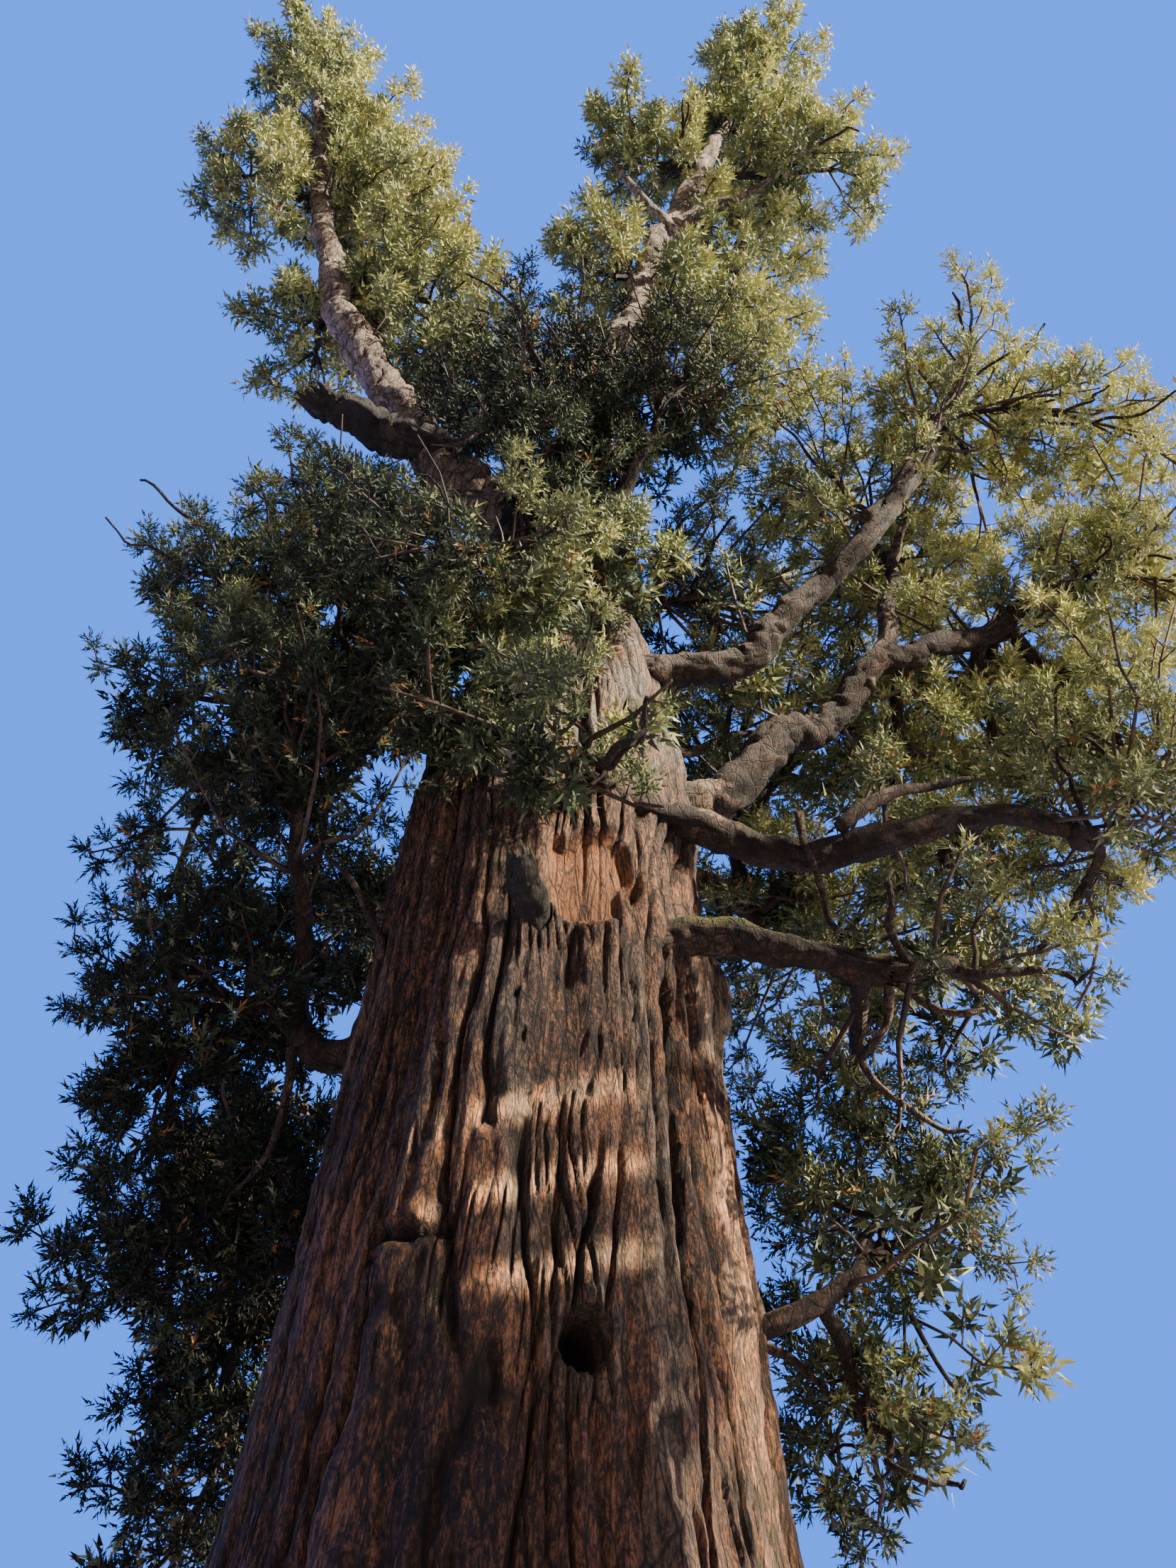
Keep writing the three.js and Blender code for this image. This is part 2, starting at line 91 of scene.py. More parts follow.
def bent(foot, tip, radii, rise=0, ripple=0, side=0, wave=0):
    """A limb's ends and radii, and how far it bends up and sideways, as in the part's source."""
    bends = (rise, ripple, side, wave)
    return dict(foot=np.array(foot, float), tip=np.array(tip, float), radii=radii, bends=bends)


LIMBS = {
    "left_leader": bent([-0.15, 0, 15.2], [-6.8, -0.7, 36.9], [0.42, 0.05], side=1.45, wave=0.35),
    "right_leader": bent([0.05, 0, 15.2], [5.1, -0.4, 37.8], [0.43, 0.05], side=-0.35, wave=-0.1),
    "broken_snag": bent([-1.5, -0.1, 17.75], [-3.95, -0.6, 18.95], [0.24, 0.16], rise=-0.2),
    "right_upper_bough": bent([0.4, -0.2, 12.2], [5.7, -1.2, 16.8], [0.28, 0.08], rise=-1.7),
    "right_middle_bough": bent([0.6, -0.3, 9.1], [7.3, -0.3, 14.3], [0.3, 0.08], rise=0.25),
    "right_middle_fork": bent([4, -0.33, 12], [5, 0.2, 15.4], [0.15, 0.08], side=-0.2),
    "right_lower_bough": bent([0.5, -0.9, 9], [5.4, -1.2, 8.85], [0.23, 0.1], ripple=0.22),
    "right_broken_bough": bent([0.6, -0.9, 7.65], [3.3, -1.4, 7.05], [0.22, 0.14], rise=0.22),
    "right_foot_bough": bent([0.6, -0.5, 3.8], [2.9, -0.1, 5], [0.13, 0.06]),
    "left_upper_bough": bent([0, -0.1, 13.2], [-3.7, -0.1, 14.4], [0.24, 0.09], rise=0.2),
    "left_middle_bough": bent([-0.4, -0.2, 10.6], [-3, -0.5, 11.7], [0.26, 0.1], rise=0.2),
    "left_lower_bough": bent([-0.5, 0, 6.8], [-2.9, 0.3, 7.8], [0.24, 0.1], rise=-0.2),
    "left_foot_bough": bent([-0.6, 0.3, 5], [-3, 1.5, 5.6], [0.17, 0.07], rise=0.15),
    "front_bough": bent([0, -0.3, 12.5], [-0.4, -2.2, 11.9], [0.18, 0.07], rise=0.35),
    "centre_bough": bent([-0.1, -0.2, 14.2], [1.5, -1.1, 16.7], [0.22, 0.08], rise=-0.2),
    "back_right_bough": bent([0.3, 0.3, 9.3], [3.1, 2.2, 10.3], [0.28, 0.1], rise=0.3),
    "back_upper_bough": bent([0, 0.2, 13.2], [0.2, 2.7, 15.2], [0.24, 0.09], rise=-0.2),
    "back_left_bough": bent([-0.2, 0.3, 9.8], [-2.3, 2.8, 11.1], [0.26, 0.1], rise=0.3),
}

# Foliage on each limb: x, y and z of the middle of each mass, its half-width and its half-height.
FOLIAGE = {
    "left_leader": [
        [-6.8, -0.6, 36.3, 1.7, 2.5], [-5.2, 0, 32, 1.9, 2.8], [-6.5, -0.9, 27.6, 1.3, 2.4],
        [-3.6, 0, 28.4, 1.7, 2.6], [-2.5, 0.4, 24.6, 1.8, 2.4], [-4.8, 0.8, 23.9, 1.4, 2.3],
        [-1.3, 0.4, 20.8, 1.5, 2],
    ],
    "right_leader": [
        [5.2, -0.4, 37.75, 1.6, 2.55], [4.5, 0.2, 33.4, 1.9, 2.7], [1.8, -0.5, 30.4, 1.6, 2.5],
        [5.8, -0.6, 29.4, 1.5, 2.4], [3.8, 0.8, 27.2, 1.9, 2.5], [0.7, -0.4, 24.6, 1, 2],
        [3.2, 0.6, 22.6, 1.8, 2.5],
    ],
    "centre_bough": [
        [2.1, -1.2, 18.3, 1.8, 1.7], [-0.2, -1.3, 18.6, 1.5, 1.5], [-0.5, -1.8, 15.2, 1.6, 1.5],
    ],
    "front_bough": [[-0.7, -2.8, 11.3, 1.6, 1.5]],
    "trunk": [[0.5, -2.7, 8.9, 0.9, 1.2], [2.9, 2.2, 16.9, 2.3, 2.1]],
    "right_upper_bough": [[8.3, -1, 16.9, 1.6, 1.5], [6.4, -1, 18.5, 1.7, 1.6]],
    "right_middle_fork": [[4.6, 0.6, 18.5, 1.9, 1.7]],
    "right_middle_bough": [[8.3, -0.2, 14.5, 1.8, 1.7], [6, 1.4, 13.9, 2.1, 2]],
    "right_lower_bough": [[6.4, -0.9, 10.3, 1.8, 1.7]],
    "right_broken_bough": [[4.2, -0.8, 7.3, 1.4, 1.4]],
    "right_foot_bough": [[3.2, 0.5, 5.6, 1.3, 1.3], [2.9, 0.8, 3.8, 0.9, 0.9]],
    "left_upper_bough": [[-4.5, 0, 14.7, 1.7, 1.6], [-3.4, 0.4, 17, 1.7, 1.5]],
    "left_middle_bough": [[-3.9, -0.4, 11.7, 1.8, 1.7], [-2.1, -1.6, 13.2, 1.6, 1.5]],
    "left_lower_bough": [[-3.5, 0.5, 8.3, 1.8, 1.6], [-2.5, -1.6, 10, 1.4, 1.4]],
    "left_foot_bough": [[-3.6, 1.9, 5.9, 1.7, 1.5], [-3.1, 2.5, 3.8, 1.3, 1.2]],
    "back_right_bough": [[4, 2.9, 10.5, 2.1, 1.9], [2.9, 2.3, 13.6, 2.1, 1.9]],
    "back_upper_bough": [[0, 3.9, 16.1, 2, 1.9]],
    "back_left_bough": [[-2.9, 3.8, 11.6, 2.1, 1.9]],
}
# Where stems may leave a limb, as shares of its length, and how thick they are by the limb and at most.
FIRST_STEM = 0.35
STEM_SPACING = 0.22
TRUNK_LAST_STEM = 0.92
STEM_SHARE = 0.8
STEM_MOST = 0.11
STEM_PAST_MIDDLE = 0.45
STEM_BEND = 0.1
# How far out in the trunk's radius a stem starts.
TRUNK_STEM_DEPTH = 0.8

# Smaller clumps that close the crown between the masses, in the same way.
CLUMPS = [
    [6, 1.5, 16.9, 1.4, 1.3], [8.8, 0.6, 16.3, 1, 0.9], [7, 0.8, 17.4, 1.1, 1],
    [4.7, 1.5, 15.1, 1.3, 1.2], [6, 0.7, 12.2, 1.1, 1], [4.8, 0.5, 9.9, 1.1, 0.9],
    [2.9, 1.6, 10.3, 1.1, 1], [5.6, 0.6, 8.8, 1.2, 1], [3.2, 0.6, 7.1, 1, 0.9],
    [4.3, 0.3, 6.2, 1, 0.9], [2.6, 0.9, 6.4, 0.8, 0.8], [3.5, 0.4, 4.3, 0.9, 0.8],
    [7.4, 0.4, 12.3, 1.3, 1.1], [4.6, 0.8, 12, 1.3, 1.1], [-3.7, 1, 6.9, 1.2, 1],
    [-2.9, 1.9, 4.9, 1.1, 1], [-2.3, 1, 6.1, 0.9, 0.9], [-3.4, 2.6, 7.4, 1.3, 1.2],
    [-2.9, 0.3, 12.7, 1.2, 1.1], [-4, 0.3, 9.9, 1.1, 1], [-1.9, 0.2, 12.3, 1, 1],
    [-0.9, -2.2, 9.6, 1, 0.9], [-1.1, -2.2, 10.6, 1.1, 1], [0.9, -1.6, 13.1, 0.9, 0.9],
    [0.4, -1.3, 16.4, 1.3, 1.2],
]

# Thin bare branches between the masses: points along each, and the radius at both ends.
BRANCHES = [
    ([[2.3, -0.45, 26.2], [1.71, -0.6, 27.9], [1.06, -0.8, 29.4], [0.86, -0.9, 30.9]], [0.13, 0.03]),
    ([[2.4, -0.4, 26.6], [3.2, -0.5, 27.4], [4, -0.6, 27.8], [5.7, -0.8, 29.8]], [0.15, 0.03]),
    ([[4.3, -1.1, 14.5], [5.14, -0.9, 15.7], [6, -0.95, 17.3], [7.16, -0.9, 20.05]], [0.13, 0.03]),
    ([[7.0, -0.3, 14.1], [7.8, -0.35, 14.3], [8.68, -0.4, 15.1]], [0.09, 0.03]),
    ([[4.9, -0.1, 14.9], [5.4, -0.1, 16.2], [6.2, -0.3, 18]], [0.08, 0.02]),
    ([[3.1, -1.25, 8.85], [3.6, -1.3, 9.3], [4.2, -1.1, 9.6], [4.76, -1, 9.8]], [0.09, 0.03]),
    ([[3.2, -1.3, 7.1], [3.37, -0.8, 7.4], [3.8, -0.8, 7], [4.2, -0.8, 7]], [0.06, 0.03]),
    ([[3.3, -1.1, 7.1], [3.26, -0.8, 6.8], [3, -0.8, 6.4], [3.4, -0.8, 6], [3.8, -0.8, 5.8]], [0.05, 0.02]),
    ([[2.72, -1.2, 9.1], [2.82, -1, 8.6], [2.99, -0.8, 7.9]], [0.05, 0.035]),
    ([[-1.35, -0.9, 7.5], [-1.6, -0.8, 8.1], [-1.87, -0.8, 8.5], [-2.1, -0.9, 8.8]], [0.05, 0.02]),
    ([[-2.3, 0, 7.1], [-2.34, 0.2, 6.4], [-2.55, 0.5, 6.1], [-2.9, 0.9, 5.9]], [0.05, 0.02]),
    ([[1.0, 0.4, 11.9], [1.8, 1.3, 12.5], [2.6, 1.8, 13.3], [3.5, 2.2, 13.8]], [0.12, 0.04]),
    ([[1.7, 0, 4.5], [2.2, 0.1, 4.3], [2.6, 0.4, 4.0]], [0.05, 0.02]),
]
# The dead stub beside the wound in the trunk.
STUB = ([[0.1, -1.45, 7.4], [0.05, -1.8, 7.5], [0.0, -1.94, 7.68], [-0.04, -1.92, 7.86]], [0.17, 0.1])


def random_stream(offset):
    return np.random.default_rng(SEED + offset)


def unit(vectors):
    return vectors / np.maximum(norm(vectors, axis=-1, keepdims=True), 1e-9)


def smooth(low, high, value):
    share = np.clip((value - low) / (high - low), 0, 1)
    return share * share * (3 - 2 * share)


def waves(u, v, across, along, offset):
    """A smooth random field from -1 to 1. It repeats when u goes up by 1. v runs from 0 to 1."""
    table = random_stream(offset).uniform(-1, 1, (across, along + 2))
    x = (u % 1) * across
    y = np.clip(v, 0, 1) * along
    i = np.floor(x).astype(int) % across
    j = np.floor(y).astype(int)
    right = smooth(0, 1, x - np.floor(x))
    up = smooth(0, 1, y - j)
    near = table[i, j] * (1 - right) + table[(i + 1) % across, j] * right
    far = table[i, j + 1] * (1 - right) + table[(i + 1) % across, j + 1] * right
    return near * (1 - up) + far * up


def new_object(name, data):
    made = bpy.data.objects.new(name, data)
    bpy.context.scene.collection.objects.link(made)
    return made


def mesh_piece(name, points, triangles, material, slot, nodes, values=None, rounded=True):
    """A mesh that stands for some CAD nodes. Each value has a grid of numbers and one for a tube's ends."""
    mesh = bpy.data.meshes.new(name)
    mesh.vertices.add(len(points))
    mesh.vertices.foreach_set("co", np.ascontiguousarray(points, np.float32).ravel())
    mesh.loops.add(triangles.size)
    mesh.loops.foreach_set("vertex_index", np.ascontiguousarray(triangles, np.int32).ravel())
    mesh.polygons.add(len(triangles))
    mesh.polygons.foreach_set("loop_start", np.arange(0, triangles.size, 3, dtype=np.int32))
    mesh.update(calc_edges=True)
    mesh.validate()
    for key, (grid, end) in (values or {}).items():
        layer = mesh.attributes.new(key, "FLOAT", "POINT")
        layer.data.foreach_set("value", np.append(grid.ravel(), [end, end]).astype(np.float32))
    mesh.materials.append(material)
    if rounded:
        mesh.shade_smooth()
    piece = new_object(name, mesh)
    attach(piece, "root")
    if nodes:
        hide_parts(*nodes)


def tube_faces(rings, sides):
    """The faces of a tube, whose vertices go ring by ring, with the middles of its two ends last."""
    i, j = np.meshgrid(np.arange(rings - 1), np.arange(sides), indexing="ij")
    a = i * sides + j
    b = i * sides + (j + 1) % sides
    walls = np.stack([a, b, b + sides, a, b + sides, a + sides], axis=-1).reshape(-1, 3)
    j = np.arange(sides)
    after = (j + 1) % sides
    last = (rings - 1) * sides
    foot = np.stack([after, j, np.full(sides, rings * sides)], axis=-1)
    tip = np.stack([last + j, last + after, np.full(sides, rings * sides + 1)], axis=-1)
    return np.concatenate([walls, foot, tip])


def tubes(paths, radii, sides):
    """Closed tubes along paths of shape (tubes, rings, 3), with a radius for each ring or each vertex."""
    count, rings = paths.shape[:2]
    if radii.ndim == 2:
        radii = np.repeat(radii[:, :, None], sides, axis=2)
    ahead = unit(np.gradient(paths, axis=1))
    lean = np.where(np.abs(ahead[:, 0, 2:3]) > 0.9, [[1.0, 0, 0]], [[0, 0, 1.0]])
    side = np.cross(ahead[:, 0], lean)
    turn = np.arange(sides) * 2 * pi / sides
    vertices = np.empty((count, rings, sides, 3))
    for k in range(rings):
        side = unit(side - ahead[:, k] * np.sum(side * ahead[:, k], axis=1, keepdims=True))
        over = np.cross(ahead[:, k], side)
        ring = np.cos(turn)[None, :, None] * side[:, None] + np.sin(turn)[None, :, None] * over[:, None]
        vertices[:, k] = paths[:, k, None] + radii[:, k, :, None] * ring
    ends = np.stack([paths[:, 0], paths[:, -1]], axis=1)
    points = np.concatenate([vertices.reshape(count, -1, 3), ends], axis=1)
    shift = np.arange(count)[:, None, None] * (rings * sides + 2)
    return points.reshape(-1, 3), (tube_faces(rings, sides)[None] + shift).reshape(-1, 3)


# Limbs' paths


def limb_points(sizes, t):
    """The same path as the solid's, at an array of shares from its foot to its tip."""
    foot, tip = sizes["foot"], sizes["tip"]
    rise, ripple, side, wave = sizes["bends"]
    t = np.atleast_1d(t)
    once, twice, thrice = (np.sin(k * pi * t)[:, None] for k in (1, 2, 3))
    if abs(tip[2] - foot[2]) > LEADER_RISE:
        outward = np.array([np.sign(tip[0] - foot[0]), 0, 0])
    else:
        outward = unit(np.cross(UP, tip - foot))
    line = foot + (tip - foot) * t[:, None]
    return line + UP * (rise * once + ripple * thrice) + outward * (side * once + wave * twice)


def limb_radius(radii, t):
    thick, thin = radii
    return thin + (thick - thin) * (1 - np.asarray(t, float)) ** 0.8


def crooked(path, amount, offset):
    """A path with small bends that fade at both ends, so that it looks grown."""
    rings = len(path)
    share = np.linspace(0, 1, rings)
    length = np.sum(norm(np.diff(path, axis=0), axis=1))
    bends = max(3, int(length / 0.9))
    random = random_stream(offset)
    shift = np.zeros((rings, 3))
    for cells, strength in ((bends, 1.0), (bends * 2, 0.4)):
        for axis in range(3):
            knots = random.uniform(-1, 1, cells + 2)
            place = share * cells
            low = np.floor(place).astype(int)
            mix = smooth(0, 1, place - low)
            shift[:, axis] += strength * (knots[low] * (1 - mix) + knots[low + 1] * mix)
    return path + amount * shift * smooth(0, 0.15, share)[:, None] * smooth(0, 0.1, 1 - share)[:, None]


def curve_through(places, rings):
    """A smooth path through a few places."""
    places = np.array(places, float)
    padded = np.concatenate([[2 * places[0] - places[1]], places, [2 * places[-1] - places[-2]]])
    spans = len(places) - 1
    where = np.linspace(0, spans, rings)
    k = np.minimum(np.floor(where).astype(int), spans - 1)
    s = (where - k)[:, None]
    a, b, c, d = (padded[k + shift] for shift in range(4))
    return 0.5 * (2 * b + (c - a) * s + (2 * a - 5 * b + 4 * c - d) * s**2 + (3 * b - a - 3 * c + d) * s**3)


def trunk_axis(height):
    return np.interp(height, TRUNK_HEIGHTS, TRUNK_AXIS), np.interp(height, TRUNK_HEIGHTS, TRUNK_RADII)


def trunk_swell(angle, height):
    fade = np.exp(-height / BUTTRESS_HEIGHT)
    buttress = BUTTRESS_DEPTH * fade * np.cos(BUTTRESSES * angle + 0.6)
    ribs = 0
    for count, depth, turn, lean in RIBS:
        ribs += depth * (np.cos(count * angle + turn + lean * height) - 1)
    return 1 + buttress + ribs + TRUNK_WAVE * np.sin(3 * angle + 0.35 * height)


# Materials


class Shader:
    """Adds nodes to a material or a world by short calls. An input is a value or another node's output."""

    def __init__(self, owner, surface="Principled BSDF"):
        owner.use_nodes = True
        self.owner = owner
        self.tree = owner.node_tree
        self.surface = self.tree.nodes[surface]

    def add(self, kind, inputs=None, output=0, **settings):
        node = self.tree.nodes.new("ShaderNode" + kind)
        for key, value in settings.items():
            setattr(node, key, value)
        self.fill(node, inputs or {})
        return node.outputs[output]

    def fill(self, node, inputs):
        for key, value in inputs.items():
            socket = node.inputs[key]
            if isinstance(value, bpy.types.NodeSocket):
                self.tree.links.new(value, socket)
            else:
                socket.default_value = value

    def finish(self, **inputs):
        self.fill(self.surface, {key.replace("_", " "): value for key, value in inputs.items()})
        return self.owner

    def noise(self, scale, detail, roughness=0.55):
        """Noise from 0 to 1. The scale is how many spots there are in a metre along x, y and z."""
        inputs = {"Vector": self.stretched(scale), "Scale": 1.0, "Detail": detail, "Roughness": roughness}
        return self.add("TexNoise", inputs)

    def stretched(self, scale):
        place = self.add("TexCoord", output=3)
        return self.add("Mapping", {"Vector": place, "Scale": scale})

    def ramp(self, factor, stops):
        socket = self.add("ValToRGB", {"Fac": factor})
        elements = socket.node.color_ramp.elements
        while len(elements) < len(stops):
            elements.new(1)
        for element, (place, colour) in zip(elements, stops):
            element.position = place
            element.color = (*colour, 1)
        return socket

    def mix(self, factor, one, other):
        return self.add("Mix", {0: factor, 6: one, 7: other}, output=2, data_type="RGBA")

    def maths(self, operation, *numbers):
        return self.add("Math", dict(enumerate(numbers)), operation=operation)

    def total(self, *terms):
        """The sum of some outputs, each with its weight."""
        total, *others = [self.maths("MULTIPLY", value, weight) for value, weight in terms]
        for other in others:
            total = self.maths("ADD", total, other)
        return total

    def value(self, name):
        return self.add("Attribute", output=2, attribute_name=name)


# Patterns that every bark has, in spots to a metre along x, y and z, and colours by tone.
GRAIN = (48, 48, 20)
BLOTCHES = (1.3, 1.3, 0.8)
MOSS = [(0.35, (0.03, 0.035, 0.01)), (0.65, (0.2, 0.21, 0.05))]
RAW_BARK = [(0.38, (0.06, 0.018, 0.007)), (0.62, (0.4, 0.16, 0.055))]
FINER_PLATES = 2.7
FINER_STRENGTH = 0.6
GAP_WIDTH = 0.07


def bark_material(name, stops, crack, grey_stops, fibre, plates, gap_strength=0.95, bump_distance=0.05):
    """Bark: fibres and grain, plates with cracks between them, grey weathering and pale limb feet, which on
    the right-hand limbs carry painted sunlight, moss and raw inner bark.
    """
    shader = Shader(bpy.data.materials.new(name))
    along = shader.noise(fibre, 6.0, 0.65)
    grain = shader.noise(GRAIN, 5.0, 0.7)
    blotch = shader.noise(BLOTCHES, 4.0)
    tone = shader.total((along, 0.4), (blotch, 0.2), (grain, 0.4))
    colour = shader.ramp(tone, stops)
    colour = shader.mix(shader.value("grey"), colour, shader.ramp(tone, grey_stops))
    colour = shader.mix(shader.value("moss"), colour, shader.ramp(grain, MOSS))
    colour = shader.mix(shader.value("raw"), colour, shader.ramp(tone, RAW_BARK))
    gaps = []
    for finer, strength in ((1, gap_strength), (FINER_PLATES, FINER_STRENGTH * gap_strength)):
        place = shader.stretched(tuple(finer * size for size in plates))
        edge = shader.add("TexVoronoi", {"Vector": place, "Scale": 1.0}, feature="DISTANCE_TO_EDGE")
        fade = {"Value": edge, "From Max": GAP_WIDTH, "To Min": strength, "To Max": 0.0}
        gaps.append(shader.add("MapRange", fade))
    gap = shader.maths("MAXIMUM", *gaps)
    # Painted shade darkens the cracks between the plates and the furrows, cracks and holes marked on the
    # mesh.
    colour = shader.mix(gap, colour, (*crack, 1))
    colour = shader.mix(shader.value("furrow"), colour, (*crack, 1))
    height = shader.total((along, 0.6), (grain, 0.9), (gap, -0.4))
    rough = shader.add("MapRange", {"Value": along, "To Min": 0.8, "To Max": 0.98})
    bumps = shader.add("Bump", {"Height": height, "Strength": 1.0, "Distance": bump_distance})
    return shader.finish(Base_Color=colour, Roughness=rough, Normal=bumps)


RED_BARK = bark_material(
    "red_bark",
    stops=[(0.42, (0.007, 0.005, 0.004)), (0.495, (0.072, 0.035, 0.023)), (0.59, (0.36, 0.162, 0.08))],
    crack=(0.007, 0.005, 0.004),
    grey_stops=[(0.42, (0.02, 0.016, 0.013)), (0.58, (0.23, 0.185, 0.15))],
    fibre=(20, 20, 4.5),
    plates=(7, 7, 1.5),
    gap_strength=0.85,
    bump_distance=0.06,
)
BOUGH_BARK = bark_material(
    "bough_bark",
    stops=[(0.4, (0.004, 0.002, 0.0015)), (0.5, (0.019, 0.009, 0.005)), (0.6, (0.12, 0.058, 0.032))],
    crack=(0.006, 0.004, 0.003),
    grey_stops=[(0.42, (0.08, 0.045, 0.03)), (0.58, (0.5, 0.34, 0.25))],
    fibre=(14, 14, 9),
    plates=(7, 7, 4),
)
PALE_BARK = bark_material(
    "pale_bark",
    stops=[(0.36, (0.08, 0.05, 0.037)), (0.5, (0.33, 0.235, 0.175)), (0.64, (0.65, 0.52, 0.42))],
    crack=(0.018, 0.012, 0.009),
    grey_stops=[(0.38, (0.16, 0.12, 0.095)), (0.62, (0.6, 0.5, 0.42))],
    fibre=(12, 12, 5),
    plates=(6, 6, 3),
)
DEAD_WOOD = bark_material(
    "dead_wood",
    stops=[(0.36, (0.006, 0.005, 0.004)), (0.5, (0.02, 0.015, 0.011)), (0.64, (0.085, 0.06, 0.045))],
    crack=(0.004, 0.003, 0.003),
    grey_stops=[(0.38, (0.06, 0.05, 0.04)), (0.62, (0.26, 0.22, 0.19))],
    fibre=(9, 9, 2.5),
    plates=(5, 5, 1.2),
    gap_strength=0.8,
    bump_distance=0.04,
)


def twig_material():
    shader = Shader(bpy.data.materials.new("twig_bark"))
    tone = shader.noise((6, 6, 6), 4.0)
    colour = shader.ramp(tone, [(0.35, (0.022, 0.014, 0.011)), (0.65, (0.085, 0.054, 0.04))])
    bumps = shader.add("Bump", {"Height": tone, "Strength": 0.5, "Distance": 0.01})
    return shader.finish(Base_Color=colour, Roughness=0.88, Normal=bumps)


def leaf_material(name, colour):
    """One tint of leaf, a little lighter and darker from place to place."""
    shader = Shader(bpy.data.materials.new(name))
    tone = shader.noise((5, 5, 5), 2.0)
    low = tuple(0.78 * c for c in colour)
    high = tuple(1.2 * c for c in colour)
    tint = shader.ramp(tone, [(0.35, low), (0.65, high)])
    return shader.finish(Base_Color=tint, Roughness=0.7, Specular_IOR_Level=0.2)


# Bark on the trunk

# Long ridges of bark round the trunk, and the thinner splits in them.
RIDGES = 44
SPLITS = 112
FURROW_DEPTH = 0.085
UPPER_FURROW_DEPTH = 0.04
LONG_FURROW_DEPTH = 0.26
# Marks on the trunk: the angle round it, the height, the half-width and the half-height.
SWIRL_BURL = (-1.939, 4.39, 0.34, 0.4)
BURL_GASH = (-1.97, 4.5, 0.3, 0.11)
WOUND = (-1.28, 8.0, 0.52, 0.62)
# Knotholes and the cavity by the wound, each with its depth, and smooth burls, each with its height.
KNOTHOLES = [
    ((-1.265, 3.78, 0.19, 0.21), 0.42),
    ((-0.823, 7.31, 0.075, 0.085), 0.16),
    ((-1.53, 7.5, 0.12, 0.2), 0.3),
]
SMOOTH_BURLS = [((-0.03, 7.55, 0.42, 0.5), 0.24), ((-0.391, 4.36, 0.16, 0.2), 0.07)]
SMALL_HOLES = [
    (-1.62, 6.6, 0.03, 0.05), (-1.57, 6.15, 0.035, 0.05),
    (-1.3, 5.2, 0.03, 0.04), (-1.72, 5.4, 0.03, 0.045),
]
SMALL_HOLE_DEPTH = 0.06
# Limbs that don't leave the trunk's side.
FORK_LIMBS = ("left_leader", "right_leader", "broken_snag", "right_middle_fork")
# Lines on the trunk: angles and heights from top to bottom.
LONG_FURROW = [(-0.8, 6.9), (-0.786, 6.61), (-0.785, 4.78), (-0.754, 3.72), (-0.856, 2.54), (-0.87, 0.8)]
GREY_STRIPS = [
    [(-1.74, 7.5), (-1.715, 7.11), (-1.601, 5.9), (-1.531, 4.89), (-1.5, 4.3)],
    [(-1.02, 7.1), (-0.993, 6.23), (-0.942, 5.19), (-0.964, 3.89), (-1.021, 2.57), (-1.05, 1)],
]


def mark_distance(angle, height, mark, radius):
    """1 on the edge of an oval mark, 0 at its middle."""
    where, level, wide, tall = mark
    turn = (angle - where + pi) % (2 * pi) - pi
    return np.hypot(turn * radius / wide, (height - level) / tall)


def line_distance(angle, height, line, radius):
    """Metres sideways from a line that runs down the trunk, and large past its ends."""
    angles, levels = np.array(line).T
    where = np.interp(height, levels[::-1], angles[::-1])
    turn = (angle - where + pi) % (2 * pi) - pi
    past = np.maximum(height - levels[0], levels[-1] - height).clip(0)
    return np.abs(turn) * radius + past


def collars(angle, height, radius):
    """The thickness of each limb that leaves the trunk, and how much of its swelling reaches each place."""
    made = []
    for name, sizes in LIMBS.items():
        if name in FORK_LIMBS:
            continue
        share = np.linspace(0, 1, 200)
        path = limb_points(sizes, share)
        x, wide = trunk_axis(path[:, 2])
        leaves = np.argmax(np.hypot(path[:, 0] - x, path[:, 1]) > wide)
        thick = float(limb_radius(sizes["radii"], share[leaves]))
        where = atan2(path[leaves, 1], path[leaves, 0] - x[leaves])
        oval = (where, path[leaves, 2], 1.5 * thick, 1.9 * thick)
        made.append((thick, np.exp(-((mark_distance(angle, height, oval, radius) / 1.2) ** 2))))
    return made


